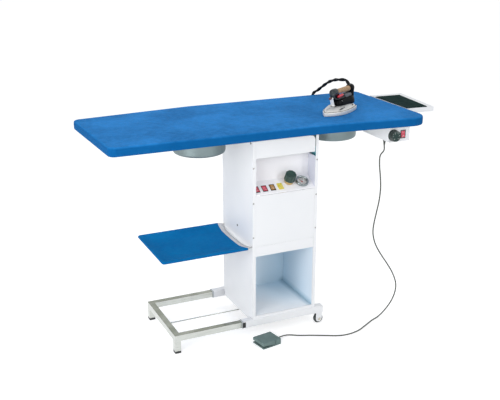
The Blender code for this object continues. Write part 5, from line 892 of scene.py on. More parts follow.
def printed(name, count, radius, start, step, place, body, finish, size):
    """Numbers from nought printed round a dial, each one step in degrees after the last."""
    marks = bmesh.new()
    for index in range(count):
        letters = bpy.data.curves.new("letters", "FONT")
        letters.body = str(index)
        letters.size = size
        letters.align_x = "CENTER"
        letters.align_y = "CENTER"
        letters.extrude = 0.00006
        letters.resolution_u = 3
        angle = math.radians(start + step * index)
        spot = Matrix.Translation((radius * math.cos(angle), radius * math.sin(angle), 0))
        carrier_text = linked("letters", letters)
        graph = bpy.context.evaluated_depsgraph_get()
        flat = bpy.data.meshes.new_from_object(carrier_text.evaluated_get(graph), depsgraph=graph)
        bpy.data.objects.remove(carrier_text)
        flat.transform(place @ spot)
        marks.from_mesh(flat)
        bpy.data.meshes.remove(flat)
    piece(name, marks, finish, body)


print_black = moulded("black_print", (0.020, 0.020, 0.022), (0.035, 0.035, 0.037), 0.5)
face = gauge_place @ Matrix.Translation((0, 0, 0.0021))
for name, count, radius, tick in (("gauge_ticks", 31, 0.0180, (0.00022, 0.0014, 0.00012)),
                                  ("gauge_long_ticks", 7, 0.0174, (0.00045, 0.0026, 0.00014))):
    tick_ring(name, face, "table", print_black, count, radius, -270, 225, tick)
printed("gauge_numbers", 7, 0.0133, 225, -45, face, "table", print_black, 0.0040)
needle_red = tinted("needle_red", (0.50, 0.030, 0.030), (0.60, 0.050, 0.045), 0.35)
needle = bmesh.new()
needle_place = gauge_place @ Matrix.Rotation(math.radians(35), 4, "Z")
outline = round_off([
    (-0.0013, -0.0060), (0.0013, -0.0060), (0.0010, 0.0020), (0.0002, 0.0150),
    (-0.0002, 0.0150), (-0.0010, 0.0020),
], 0.0006, 3, closed=True)
stack(needle, [[needle_place @ Vector((*point, height)) for point in outline]
               for height in (0.0028, 0.0033)])
lathe(needle, round_off([
    (0.0014, 0.0026), (0.0030, 0.0026), (0.0030, 0.0038), (0.0014, 0.0040),
], 0.0003, closed=True), gauge_place, 32, closed=True)
piece("gauge_pointer", needle, needle_red, "gauge_needle", ["gauge_needle"])
clear_glass, tree, shader = new_finish("gauge_glass", (0.96, 0.97, 0.97), 0.03)
shader.inputs["Transmission Weight"].default_value = 1.0
shader.inputs["IOR"].default_value = 1.30
raise_by(tree, shader, cloud(tree, object_place(tree), 60.0), 0.00001)
glass = bmesh.new()
lathe(glass, [(0.0, 0.0066), (0.0193, 0.0066), (0.0193, 0.0072), (0.0100, 0.0075), (0.0, 0.0076)],
      gauge_place, 64)
piece("gauge_lens", glass, clear_glass, "table")


# Board. A pan of sheet steel carries a heating rod, a perforated work plate and a felt pad,
# and a padded cotton cover is drawn tight over them.
dress("board_pan", white_coat, 0.0008)
dress("board_heater", tank_steel)
dress("perforated_plate", galvanised)

board_left, board_right, board_front, board_back = -0.7335, 0.5775, -0.2860, 0.2860
pan_bottom, cover_top = 0.8620, 0.9000


def corner_line(corners, steps):
    """Outline through corners of (x, y, radius), each turned into an arc."""
    outline = []
    for index, (x, y, radius) in enumerate(corners):
        corner = Vector((x, y))
        before = (Vector(corners[index - 1][:2]) - corner).normalized()
        after = (Vector(corners[(index + 1) % len(corners)][:2]) - corner).normalized()
        half = before.angle(after) / 2
        reach = radius / math.tan(half)
        centre = corner + (before + after).normalized() * radius / math.sin(half)
        start = corner + before * reach - centre
        end = corner + after * reach - centre
        sweep_angle = start.angle_signed(end)
        for step in range(steps + 1):
            arm = start.copy()
            arm.rotate(Matrix.Rotation(-sweep_angle * step / steps, 2))
            outline.append(centre + arm)
    return outline


def spaced(outline, count):
    """The same closed outline with its points evenly spaced."""
    ring = [*outline, outline[0]]
    lengths = [0.0]
    for first, second in zip(ring, ring[1:]):
        lengths.append(lengths[-1] + (second - first).length)
    marks = np.linspace(0, lengths[-1], count, endpoint=False)
    xs = np.interp(marks, lengths, [p.x for p in ring])
    ys = np.interp(marks, lengths, [p.y for p in ring])
    return [Vector(pair) for pair in zip(xs, ys)], lengths[-1]


edge_line = corner_line([
    (board_left + 0.017, board_front + 0.068, 0.028),
    (board_left + 0.875, board_front + 0.049, 0.400),
    (board_right, board_front, 0.062), (board_right - 0.015, board_back - 0.024, 0.036),
    (board_left + 0.493, board_back, 0.400), (board_left, board_back - 0.037, 0.028),
], 24)
low_x, high_x = min(p.x for p in edge_line), max(p.x for p in edge_line)
low_y, high_y = min(p.y for p in edge_line), max(p.y for p in edge_line)
for point in edge_line:
    point.x = board_left + (point.x - low_x) * (board_right - board_left) / (high_x - low_x)
    point.y = board_front + (point.y - low_y) * (board_back - board_front) / (high_y - low_y)
edge_line, edge_length = spaced(edge_line, 900)


def moved_in(outline, distance):
    """Each point of an even outline moved inwards."""
    moved = []
    for index, point in enumerate(outline):
        ahead = (outline[(index + 1) % len(outline)] - outline[index - 1]).normalized()
        moved.append(point + Vector((-ahead.y, ahead.x)) * distance)
    return moved


def cotton_weave(name, deep, light, thread, sheen):
    """Plain woven cotton: warp and weft along the cloth, fluff, an uneven dye, and painted light:
    lighter upward faces, darker sides.
    """
    made, tree, shader = new_finish(name, deep, 0.86)
    cloth_place = add(tree, "ShaderNodeUVMap", uv_map="cloth").outputs["UV"]
    place = object_place(tree)
    drift = cloud(tree, place, 5.0, 4.0, 0.38, 0.62, 0.28, 0.72)
    fine = cloud(tree, place, 55.0, 3.0, 0.3, 0.7, 0.12, 0.43)
    painted_light_on_top = ramp(tree, way_of(tree, "Z"), 0.2, 0.9, 0.12, 0.82)
    uneven_dye_and_top_light = compute(tree, "MULTIPLY", compute(tree, "ADD", drift, fine), painted_light_on_top)
    two_tones(tree, shader, uneven_dye_and_top_light, deep, light)
    threads = []
    for direction in ("X", "Y"):
        wave = add(tree, "ShaderNodeTexWave", {
            "Vector": cloth_place, "Scale": 1.0 / thread / 2, "Distortion": 0.6, "Detail": 1.0,
            "Detail Scale": 1.5,
        }, bands_direction=direction)
        threads.append(wave.outputs["Fac"])
    raise_by(tree, shader, compute(tree, "MULTIPLY", *threads), 0.00035, 0.5)
    raise_by(tree, shader, cloud(tree, place, 30.0, 4.0, 0.3, 0.7), 0.0006, 0.5)
    vary_roughness(tree, shader, cloud(tree, place, 80.0, 3.0), 0.78, 0.92)
    for label, value in (("Specular IOR Level", 0.06), ("Sheen Weight", sheen),
                         ("Sheen Roughness", 0.40), ("Sheen Tint", (0.55, 0.90, 0.90, 1.0))):
        shader.inputs[label].default_value = value
    return made


blue_cotton = cotton_weave("blue_cotton", (0.0005, 0.092, 0.290), (0.026, 0.256, 0.695),
                           0.0009, 0.05)
felt_wool = moulded("needled_felt", (0.56, 0.54, 0.49), (0.66, 0.64, 0.59), 0.92, 380.0, 0.0006)

pad = bmesh.new()
stack(pad, [[(*p, height) for p in moved_in(edge_line, distance)[::3]] for distance, height in (
    (0.0105, 0.8822), (0.0099, 0.8832), (0.0098, 0.8870), (0.0102, 0.8905), (0.0120, 0.8918),
)])
felt_pad = piece("felt_pad", pad, felt_wool, "table", ["board_padding"])


def ripple(x, y, z):
    """Soft noise between minus one and one, the same in each run."""
    return noise.noise(Vector((x, y, z)))


cover = bmesh.new()
cloth_map = cover.loops.layers.uv.new("cloth")
skirt_low = pan_bottom + 0.0003
edge_height = cover_top - 0.0030
skirt_rings = [
    (0.0091, 0.8922, 0.0), (0.0091, 0.8780, 0.0), (0.0091, skirt_low + 0.0008, 0.0),
    (0.0078, skirt_low, 0.3), (0.0035, skirt_low, 0.6), (0.0012, skirt_low + 0.0010, 0.8),
    (0.0003, skirt_low + 0.0030, 1.0), (0.0, skirt_low + 0.0065, 0.9),
    (0.0, skirt_low + 0.0105, 0.7), (0.0, skirt_low + 0.0150, 0.5), (0.0, skirt_low + 0.0195, 0.35),
    (0.0, edge_height - 0.0115, 0.2),
    (0.0004, edge_height - 0.0074, 0.1), (0.0013, edge_height - 0.0043, 0.0),
    (0.0028, edge_height - 0.0021, 0.0), (0.0050, edge_height - 0.0008, 0.0),
    (0.0078, edge_height, 0.0), (0.0110, edge_height + 0.0003, 0.0),
]
points_around = len(edge_line)
cover_rows = []
for distance, height, gather in skirt_rings:
    row = []
    for i, point in enumerate(moved_in(edge_line, distance)):
        along = edge_length * i / points_around
        ahead = (edge_line[(i + 1) % points_around] - edge_line[i - 1]).normalized()
        out = Vector((ahead.y, -ahead.x))
        pucker = 0.00045 * gather * ripple(along * 70, 3.1, height * 40)
        pucker += 0.00055 * gather * ripple(along * 22, 9.7, height * 18)
        pucker -= 0.0006 * gather
        place = point + out * pucker
        row.append((cover.verts.new((place.x, place.y, height)), along, height))
    cover_rows.append(row)
middle = sum(edge_line, Vector((0, 0))) / points_around
top_rings = (0.02, 0.05, 0.09, 0.14, 0.20, 0.27, 0.35, 0.44, 0.53, 0.62, 0.71, 0.80, 0.88, 0.95,
             0.985)
for share in top_rings:
    row = []
    crown = 0.0030 * (1 - (1 - min(1.0, share / 0.40)) ** 2)
    for point in moved_in(edge_line, 0.0110):
        place = point.lerp(middle, share)
        wave = 0.00035 * ripple(place.x * 9, place.y * 9, 0.0)
        wave += 0.00022 * ripple(place.x * 27, place.y * 27, 5.0)
        height = edge_height + 0.0003 + (crown - 0.0006) * min(1.0, share / 0.02)
        height += wave * min(1.0, share / 0.1)
        row.append((cover.verts.new((place.x, place.y, height)), 0.0, height))
    cover_rows.append(row)
flat_from = len(skirt_rings) - 3


def cloth_face(verts, map_points):
    face_made = cover.faces.new(verts)
    for loop, (u, v) in zip(face_made.loops, map_points):
        loop[cloth_map].uv = (u, v)


for ring_index, (first, second) in enumerate(zip(cover_rows, cover_rows[1:])):
    for i in range(points_around):
        j = (i + 1) % points_around
        four = (first[i], first[j], second[j], second[i])
        mapped = [(vert.co.x, vert.co.y) for vert, _, _ in four]
        if ring_index < flat_from:
            start, end = first[i][1], first[i][1] + edge_length / points_around
            mapped = [(u, entry[2]) for u, entry in zip((start, end, end, start), four)]
        cloth_face([entry[0] for entry in four], mapped)
for row, height, ahead, behind in (
    (cover_rows[-1], cover_top - 0.0004, 0, 1), (cover_rows[0], 0.8922, 1, 0),
):
    hub = cover.verts.new((middle.x, middle.y, height))
    for i in range(points_around):
        verts = [row[(i + step) % points_around][0] for step in (ahead, behind)] + [hub]
        cloth_face(verts, [(vert.co.x, vert.co.y) for vert in verts])
board_cloth = piece("board_cotton_cover", cover, blue_cotton, "table", ["board_cover"],
                    60)


# Suction. Two spun steel tubs hang under the board, each with a motor can in its floor and a
# fan wheel on the motor's shaft.
tub_zinc = metal("dull_zinc_tub", (0.215, 0.270, 0.280), 0.44, 14.0)
band_radius = 0.1046
for label in ("left", "right"):
    low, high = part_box(f"suction_tub_{label}")
    centre = Vector(((low.x + high.x) / 2, (low.y + high.y) / 2, low.z))
    depth = high.z - low.z
    tub = bmesh.new()
    lathe(tub, [
        (0.0, 0.0410), (0.0050, 0.0410), (0.0050, 0.0400), (0.0360, 0.0400), (0.0378, 0.0392),
        (0.0380, 0.0375), (0.0380, 0.0040), (0.0390, 0.0024), (0.0410, 0.0020), (0.0930, 0.0020),
        (0.0970, 0.0022), (0.1005, 0.0042), (0.1026, 0.0075), (0.1030, 0.0110), (0.1030, depth),
        (0.1050, depth), (0.1050, depth - 0.0040), (0.1040, depth - 0.0060),
        (0.1040, depth - 0.0200), (band_radius, depth - 0.0215), (band_radius, depth - 0.0245),
        (0.1040, depth - 0.0260),
        (0.1044, 0.0110), (0.1036, 0.0062), (0.1012, 0.0025), (0.0975, 0.0004), (0.0930, 0.0),
        (0.0700, 0.0), (0.0690, 0.0008), (0.0610, 0.0008), (0.0600, 0.0), (0.0400, 0.0), (0.0, 0.0),
    ], Matrix.Translation(centre), 128)
    lathe(tub, round_off([
        (0.0, 0.0400), (0.0049, 0.0400), (0.0049, 0.0608), (0.0, 0.0610),
    ], 0.0004), Matrix.Translation(centre), 32)
    piece(f"tub_{label}_shell", tub, tub_zinc, "table", [f"suction_tub_{label}"], 34)
    dress(f"fan_{label}", galvanised, 0.0003)
    spots = []
    for index in range(8):
        angle = math.pi / 8 + index * math.pi / 4
        out = Vector((math.cos(angle), math.sin(angle), 0.0))
        spot = centre + out * band_radius + Vector((0, 0, depth - 0.0105))
        spots.append((spot, out, index * 0.9))
    screw_row(f"tub_{label}_screws", spots, "table", screw_steel, 0.0030, 0.0016)


# Thermostat box. A folded white box under the right end of the board. Its front holds the
# thermostat's round knob and a red mains rocker, and the pedal cord's gland is underneath.
dress("control_box", white_coat, 0.0009)
dress("thermostat_body", black_nylon, 0.0005)
dress("box_switch", black_nylon, 0.0005)
box_front, box_middle, rocker_x, knob_x = -0.2510, 0.82645, 0.4795, 0.4335
rocker_place = Matrix.Translation((rocker_x, box_front, box_middle))
rocker("box", rocker_place @ Matrix.Rotation(math.radians(90), 4, "X"), 0.0171, 0.0257, lit_red,
       "box_rocker")
knob_place = facing((knob_x, box_front, box_middle), (0, -1, 0))
level = knob_place.inverted() @ Vector((knob_x, box_front, 1.0))
knob_up = math.atan2(level.y, level.x)
knob_plastic = moulded("green_black_knob", (0.013, 0.024, 0.021), (0.022, 0.036, 0.033), 0.36)
knob = bmesh.new()
lathe(knob, [
    (0.0033, 0.0003), (0.0230, 0.0003), (0.0238, 0.0010), (0.0240, 0.0020), (0.0239, 0.0050),
    (0.0232, 0.0060), (0.0226, 0.0068), (0.0226, 0.0090), (0.0225, 0.0150),
    (0.0224, 0.0205), (0.0220, 0.0226), (0.0212, 0.0238), (0.0204, 0.0240),
    (0.0200, 0.0236), (0.0, 0.0236), (0.0, 0.0186), (0.0033, 0.0186),
], knob_place, 112, wave=flutes(18, 0.0010, 0.0070, 0.0020, 0.0234, 0.0015))
piece("knob_skirted", knob, knob_plastic, "thermostat_knob", ["thermostat_knob"],
      36)
knob_face_finish = moulded("grey_knob_face", (0.015, 0.036, 0.033), (0.026, 0.052, 0.048), 0.42,
                           shine=0.2)
disc = bmesh.new()
lathe(disc, round_off([(0.0, 0.0234), (0.0198, 0.0234), (0.0198, 0.0240), (0.0, 0.0241)], 0.0003),
      knob_place, 64)
piece("knob_face", disc, knob_face_finish, "thermostat_knob")
on_knob = knob_place @ Matrix.Rotation(knob_up - math.pi / 2, 4, "Z")
on_knob = on_knob @ Matrix.Translation((0, 0, 0.0242))
tick_ring("knob_ticks", on_knob, "thermostat_knob", mark_paint, 21, 0.0178, -280, 230,
          (0.0005, 0.0018, 0.0002))
printed("knob_numbers", 6, 0.0130, 230, -56, on_knob, "thermostat_knob", mark_paint, 0.0056)
gland_top = Vector((0.4285, -0.1990, 0.7972))
gland = bmesh.new()
lathe(gland, round_off([
    (0.0, -0.0240), (0.0030, -0.0240), (0.0036, -0.0225), (0.0032, -0.0210), (0.0040, -0.0195),
    (0.0036, -0.0180), (0.0044, -0.0165), (0.0040, -0.0150), (0.0048, -0.0135), (0.0046, -0.0120),
    (0.0050, -0.0084), (0.0070, -0.0074), (0.0070, -0.0004), (0.0042, -0.0004), (0.0042, 0.0082),
    (0.0, 0.0082),
], 0.0004, 3), Matrix.Translation(gland_top), 40)
piece("gland_relief", gland, cable_jacket, "table", ["cord_gland"])


# Garment tray. A chrome wire loop whose two ends plug into sockets in the cabinet side, and a
# cotton cloth whose long hems are sewn round the wires. The cloth hangs in a shallow trough.
tray_z = 0.3990
wire_radius = 0.0030
socket_x = -0.1325
tray_end = -0.5105
mid_y = 0.0060
half_plugs, half_frame, wire_bend = 0.144, 0.156, 0.009
wire_path = []
for side in (-1, 1):
    plug_y = mid_y + side * half_plugs
    out_y = mid_y + side * half_frame
    leg = [
        (socket_x + 0.032, plug_y), (socket_x - 0.005, plug_y),
        (socket_x - 0.020, out_y), (tray_end, out_y),
    ]
    wire_path += leg[::-side]
wire_points = [Vector((*point, tray_z)) for point in round_off(wire_path, wire_bend, 8)]
wire = bmesh.new()
sweep(wire, wire_points, lambda share: oval(wire_radius, wire_radius, count=20))
piece("tray_wire", wire, chrome, "tray", ["tray_frame"], 50)

half_span = 0.1500
cloth_left, cloth_right = tray_end, -0.1564
columns, across_rows = 60, 48
grid = np.zeros((columns + 1, across_rows + 1, 3))
for i in range(columns + 1):
    for j in range(across_rows + 1):
        v = -1 + 2 * j / across_rows
        pull = 1 - v * v
        grid[i, j] = (
            cloth_left + i / columns * (cloth_right - cloth_left - 0.008 * pull),
            mid_y + v * half_span,
            tray_z + 0.0038 - 0.0060 * pull * min(1.0, i / columns / 0.10),
        )


def hang_cloth(shape):
    """Let the cloth hang between its two hems and over the end wire by a simulation."""
    mesh = bpy.data.meshes.new("cloth_try")
    count = across_rows + 1
    faces = []
    for i in range(columns):
        for j in range(across_rows):
            first, second = i * count + j, (i + 1) * count + j
            faces.append((first, second, second + 1, first + 1))
    mesh.from_pydata([tuple(p) for p in shape.reshape(-1, 3)], [], faces)
    trial = linked("cloth_try", mesh)
    held = trial.vertex_groups.new(name="held")
    pins = [i * count + j for i in range(columns + 1) for j in (0, across_rows)]
    pins += list(range(count))
    held.add(pins, 1.0, "REPLACE")
    cloth = trial.modifiers.new("hang", "CLOTH")
    for setting, value in (
        ("vertex_group_mass", "held"), ("mass", 0.20), ("tension_stiffness", 40.0),
        ("compression_stiffness", 20.0), ("shear_stiffness", 12.0), ("bending_stiffness", 0.4),
        ("air_damping", 6.0), ("shrink_min", -0.004), ("quality", 8),
    ):
        setattr(cloth.settings, setting, value)
    cloth.collision_settings.use_collision = False
    frames = 30
    cloth.point_cache.frame_end = frames
    for frame_number in range(1, frames + 1):
        bpy.context.scene.frame_set(frame_number)
    graph = bpy.context.evaluated_depsgraph_get()
    done = trial.evaluated_get(graph).to_mesh()
    hung = np.array([v.co for v in done.vertices]).reshape(shape.shape)
    bpy.data.objects.remove(trial)
    bpy.context.scene.frame_set(1)
    return hung


grid = hang_cloth(grid)
deepest = tray_z - 0.0075
grid[:, :, 2] = np.maximum(grid[:, :, 2], deepest)

cloth_mesh = bmesh.new()
cloth_map = cloth_mesh.loops.layers.uv.new("cloth")


def cloth_strip(rows, closed=False):
    """Cover rows of points with cloth whose map keeps the length of the threads."""
    across = [0.0]
    for first, second in zip(rows[0], [*rows[0][1:], rows[0][0]]):
        across.append(across[-1] + (second - first).length)
    along = [0.0]
    for first, second in zip(rows, rows[1:]):
        along.append(along[-1] + (second[0] - first[0]).length)
    made = [[cloth_mesh.verts.new(point) for point in row] for row in rows]
    count = len(rows[0])
    for i in range(len(rows) - 1):
        for j in range(count if closed else count - 1):
            k = (j + 1) % count
            corners = (made[i][j], made[i + 1][j], made[i + 1][k], made[i][k])
            mapped = ((along[i], across[j]), (along[i + 1], across[j]),
                      (along[i + 1], across[j + 1]), (along[i], across[j + 1]))
            for loop, spot in zip(cloth_mesh.faces.new(corners).loops, mapped):
                loop[cloth_map].uv = spot


def in_corner(point):
    """Keep a point of the cloth inside the round corners of the wire loop."""
    middle_x = tray_end + wire_bend
    middle_y = mid_y + math.copysign(half_frame - wire_bend, point.y - mid_y)
    arm = Vector((point.x - middle_x, point.y - middle_y))
    if arm.x < 0 and arm.y * (middle_y - mid_y) > 0 and arm.length > wire_bend:
        arm = arm.normalized() * wire_bend
        return Vector((middle_x + arm.x, middle_y + arm.y, point.z))
    return point


hem_radius, half_inside = 0.0043, 0.1532
sheet_rows = []
for i in range(columns + 1):
    inner_row = [Vector(grid[i, j]) for j in range(across_rows + 1)]
    hem_x = cloth_left + i / columns * (cloth_right - cloth_left)
    hem_top = tray_z + hem_radius
    near, near_in, far_in, far = (
        Vector((hem_x, mid_y + reach, hem_top - drop)) for reach, drop in (
            (-half_frame, 0.0002), (-half_inside, 0.0004), (half_inside, 0.0004),
            (half_frame, 0.0002)))
    sheet_rows.append([in_corner(point) for point in (near, near_in, *inner_row, far_in, far)])
cloth_strip(sheet_rows)
hem_line = [point for point in wire_points if point.x < cloth_right]
ends = [Vector((cloth_right, end.y, tray_z)) for end in (hem_line[0], hem_line[-1])]
hem_line = [ends[0], *hem_line, ends[1]]
hem_rows = []
for index, point in enumerate(hem_line):
    before, after = hem_line[max(index - 1, 0)], hem_line[min(index + 1, len(hem_line) - 1)]
    side = (after - before).normalized().cross(Vector((0, 0, 1)))
    puff = hem_radius * (1 + 0.05 * ripple(point.x * 60, point.y * 60, 2.0))
    hem_rows.append([
        point + side * puff * math.cos(angle) + Vector((0, 0, puff * math.sin(angle)))
        for angle in (2 * math.pi * step / 16 for step in range(16))
    ])
cloth_strip(hem_rows, closed=True)
tray_blue = cotton_weave("tray_blue_cotton", (0.0002, 0.114, 0.345), (0.0004, 0.178, 0.462),
                         0.0009, 0.0)
tray_sheet = piece("tray_cotton", cloth_mesh, tray_blue, "tray", ["tray_cloth"], 70)


def thicken(cloth, thickness):
    wall = cloth.modifiers.new("thick", "SOLIDIFY")
    wall.thickness = thickness
    wall.offset = 0.0


thicken(tray_sheet, 0.0010)

# The grey tape along the cloth's free edge, drawn tight between the two wires.
tape_mesh = bmesh.new()
tape_rows = []
for j in range(across_rows + 1):
    v = -1 + 2 * j / across_rows
    reach = 0.0165 + 0.0045 * v * v
    on_edge = Vector(grid[columns, j]) + Vector((0.0, 0.0, 0.0006))
    tape_rows.append([on_edge + Vector(step) for step in (
        (-0.0040, 0, 0), (reach * 0.3, 0, 0), (reach, 0.0, -0.0022),
    )])
tape_verts = [[tape_mesh.verts.new(point) for point in row] for row in tape_rows]
for first, second in zip(tape_verts, tape_verts[1:]):
    for k in range(2):
        tape_mesh.faces.new((first[k], first[k + 1], second[k + 1], second[k]))
grey_tape = moulded("grey_webbing", (0.560, 0.560, 0.580), (0.640, 0.640, 0.655),
                    0.85, 700.0, 0.0003)
tray_tape = piece("tray_edge_tape", tape_mesh, grey_tape, "tray")
thicken(tray_tape, 0.0012)

stitch_tree, given = geometry_tree("stitches", [
    ("Geometry", "Geometry", None), ("Float", "Stitch Length", 0.0030), ("Float", "Pitch", 0.0042),
    ("Float", "Thread Width", 0.0006), ("Material", "Finish", None),
])
seam = add(stitch_tree, "GeometryNodeMeshToCurve", {"Mesh": given["Geometry"]})
paced = add(stitch_tree, "GeometryNodeResampleCurve", {
    "Curve": seam.outputs["Curve"], "Length": given["Pitch"],
}, mode="LENGTH")
tangent = add(stitch_tree, "GeometryNodeInputTangent").outputs["Tangent"]
aligned = add(stitch_tree, "FunctionNodeAlignRotationToVector", {"Vector": tangent}, axis="X")
size = add(stitch_tree, "ShaderNodeCombineXYZ", {
    "X": given["Stitch Length"], "Y": given["Thread Width"], "Z": given["Thread Width"],
})
bead = add(stitch_tree, "GeometryNodeMeshIcoSphere", {"Radius": 0.5, "Subdivisions": 2})
stitch = add(stitch_tree, "GeometryNodeTransform", {
    "Geometry": bead.outputs["Mesh"], "Scale": size.outputs["Vector"],
})
stitches = add(stitch_tree, "GeometryNodeInstanceOnPoints", {
    "Points": paced.outputs["Curve"], "Instance": stitch.outputs["Geometry"],
    "Rotation": aligned.outputs["Rotation"],
})
end_tree(stitch_tree, stitches.outputs["Instances"], given["Finish"])
thread = cotton_weave("blue_thread", (0.040, 0.240, 0.600), (0.060, 0.290, 0.660), 0.0004, 0.20)
seam_mesh = bpy.data.meshes.new("tray_seams")
seam_points, seam_edges = [], []
for line in (grid[:, 1], grid[:, across_rows - 1], grid[columns - 1, 1:across_rows]):
    start = len(seam_points)
    seam_points += [tuple(point + np.array((0, 0, 0.0014))) for point in line]
    seam_edges += [(k, k + 1) for k in range(start, start + len(line) - 1)]
seam_mesh.from_pydata(seam_points, seam_edges, [])
tray_stitches = grow("tray_stitches", stitch_tree, seam_mesh, {"Finish": thread}, "tray")


# Iron rest. A folded white plate that swivels on a pin at the right end of the board, with a
# ribbed dark rubber mat on it.
dress("iron_rest", white_coat, 0.0010)
dress("rest_bracket", white_coat, 0.0008)
mat_rubber = moulded("green_black_mat", (0.004, 0.019, 0.018), (0.008, 0.027, 0.026),
                     0.80, 500.0, 0.0001, 0.04)
dress("rest_mat", mat_rubber, 0.0008)


# Iron. A cast and polished aluminium soleplate under a black moulded shell. A round front
# boss on a curved guard and a flat rear post carry a cork grip, with the red steam lever under it.
def iron_spot(u, v, z):
    return iron_place @ Vector((u, v, z))


sole_length, sole_half = 0.208, 0.048


def sole_ring(edge, count=96):
    """Outline of the soleplate, moved in by an edge: a point at the tip and a round heel."""
    near = []
    for index in range(count + 1):
        share = 0.5 - 0.5 * math.cos(math.pi * index / count)
        along = edge + share * (sole_length - 2 * edge)
        wide = math.sin(math.pi / 2 * min(1.0, share / 0.48)) ** 0.75
        late = max(0.0, (share - 0.48) / 0.52)
        wide *= math.sqrt(1 - 0.62 * late * late)
        heel = max(0.0, (share - 0.945) / 0.055)
        wide *= math.sqrt(1 - 0.80 * heel * heel)
        near.append((along, -max(sole_half * wide - edge, 0.0006)))
    return near + [(along, -half) for along, half in reversed(near)]


cast_aluminium = metal("cast_aluminium", (0.66, 0.65, 0.63), 0.34, 20.0, (1.0, 4.0, 4.0), 0.00004)
tree = cast_aluminium.node_tree
shader = tree.nodes["Principled BSDF"]
shader.inputs["Metallic"].default_value = 0.35
# Painted shade: the deck is painted darker as it rises towards the shell. The patches are random
# tone.
painted_shade_near_body = ramp(tree, spot_in(tree, "Z"), 0.9165, 0.9285, 0.0, 0.85)
patches = cloud(tree, object_place(tree), 45.0, 3.0, 0.35, 0.65, -0.15, 0.20)
two_tones(tree, shader, compute(tree, "ADD", painted_shade_near_body, patches),
          (0.730, 0.715, 0.680), (0.440, 0.445, 0.450))
sole = bmesh.new()
stack(sole, [[iron_spot(u, v, height) for u, v in sole_ring(edge)] for edge, height in (
    (0.0016, 0.0002), (0.0006, 0.0006), (0.0001, 0.0016), (0.0, 0.0030), (0.0, 0.0132),
    (0.0003, 0.0144), (0.0010, 0.0151), (0.0020, 0.0154), (0.0028, 0.0154), (0.0031, 0.0150),
    (0.0033, 0.0141), (0.0041, 0.0141), (0.0044, 0.0152), (0.0050, 0.0172), (0.0085, 0.0218),
    (0.0120, 0.0254), (0.0155, 0.0280), (0.0180, 0.0293), (0.0205, 0.0301), (0.0230, 0.0304),
)])
piece("sole_casting", sole, cast_aluminium, "iron", ["iron_sole"], 40)
# A dark grey strip laid in the groove between deck and wall, as a painted shadow line.
groove_shadow_strip = bmesh.new()
stack(groove_shadow_strip, [[iron_spot(u, v, height) for u, v in sole_ring(edge)] for edge, height in (
    (0.0060, 0.0143), (0.0021, 0.0143), (0.0016, 0.0150), (0.0019, 0.0160), (0.0060, 0.0164),
)])
groove_shadow_grey = moulded("grey_painted_groove_shadow", (0.060, 0.062, 0.064), (0.120, 0.122, 0.124), 0.6)
piece("sole_groove_shadow", groove_shadow_strip, groove_shadow_grey, "iron")


def drawn_in(line, distance):
    """A closed line of flat points, each drawn towards the middle."""
    centre = sum(line, Vector((0, 0))) / len(line)
    return [centre + (point - centre) * (1 - distance / (point - centre).length) for point in line]


black_phenolic = moulded("black_phenolic", (0.0015, 0.002, 0.003), (0.004, 0.005, 0.006), 0.34,
                         shine=0.06)
shell_line = round_off([
    (0.0790, -0.0120), (0.0960, -0.0245), (0.1780, -0.0275), (0.2020, -0.0225), (0.2020, 0.0225),
    (0.1780, 0.0275), (0.0960, 0.0245), (0.0790, 0.0120),
], 0.007, 6, closed=True)
shell = bmesh.new()
stack(shell, [[iron_spot(*p, height) for p in drawn_in(shell_line, edge)] for edge, height in (
    (0.0006, 0.0270), (0.0, 0.0278), (0.0, 0.0340), (0.0014, 0.0350), (0.0015, 0.0362),
    (0.0004, 0.0372), (0.0020, 0.0450), (0.0040, 0.0510), (0.0062, 0.0538), (0.0096, 0.0550),
    (0.0200, 0.0556),
)])
piece("iron_shell", shell, black_phenolic, "iron", ["iron_body"], 40)


def upright(mesh_data, outline, start, end, soft, radius=0.004):
    """A flat upright plate: an outline of (v, z) pushed along u, with softened edges."""
    line = round_off(outline, radius, 5, closed=True)
    stack(mesh_data, [[iron_spot(u, *point) for point in drawn_in(line, edge)] for u, edge in (
        (start, soft), (start + soft * 0.35, soft * 0.25), (start + soft, 0.0),
        (end - soft, 0.0), (end - soft * 0.35, soft * 0.25), (end, soft),
    )])


post_line = [(-0.0125, 0.0300), (0.0125, 0.0300), (0.0128, 0.0700),
             *arc(0.0, 0.0850, 0.0150, 0, 180, 12, 0.0152), (-0.0128, 0.0700)]
rear = bmesh.new()
upright(rear, post_line, 0.1830, 0.2100, 0.0030)
lathe(rear, round_off([
    (0.0, 0.0), (0.0088, 0.0), (0.0088, 0.0060), (0.0075, 0.0075), (0.0078, 0.0110),
    (0.0070, 0.0125), (0.0073, 0.0160), (0.0066, 0.0175), (0.0069, 0.0205), (0.0062, 0.0262),
    (0.0, 0.0262),
], 0.0005, 3), facing(spout_root, hose_aim), 40)
piece("iron_rear_post", rear, black_phenolic, "iron", ["iron_body"], 40)

boss_start = iron_spot(0.0460, 0.0, 0.0880)
grip_end = iron_spot(0.1850, 0.0, 0.0845)
grip_way = grip_end - boss_start
grip_place = facing(boss_start, grip_way)
front_boss = bmesh.new()
lathe(front_boss, [
    (0.0, 0.0), (0.0050, 0.0002), (0.0088, 0.0012), (0.0112, 0.0032), (0.0126, 0.0062),
    (0.0134, 0.0110), (0.0140, 0.0170), (0.0142, 0.0220), (0.0142, 0.0290), (0.0140, 0.0335),
    (0.0134, 0.0360), (0.0122, 0.0370), (0.0, 0.0372),
], grip_place, 64)
guard_plastic = moulded("grey_black_guard", (0.018, 0.026, 0.030), (0.032, 0.042, 0.047), 0.30,
                        shine=0.3)
piece("iron_front_boss", front_boss, guard_plastic, "iron", ["iron_body"], 40)
web = bmesh.new()
upright(web, rectangle(-0.0065, 0.0085, 0.0530, 0.0840), 0.0600, 0.1010, 0.0020, 0.0030)
piece("iron_front_web", web, black_phenolic, "iron", ["iron_body"], 40)
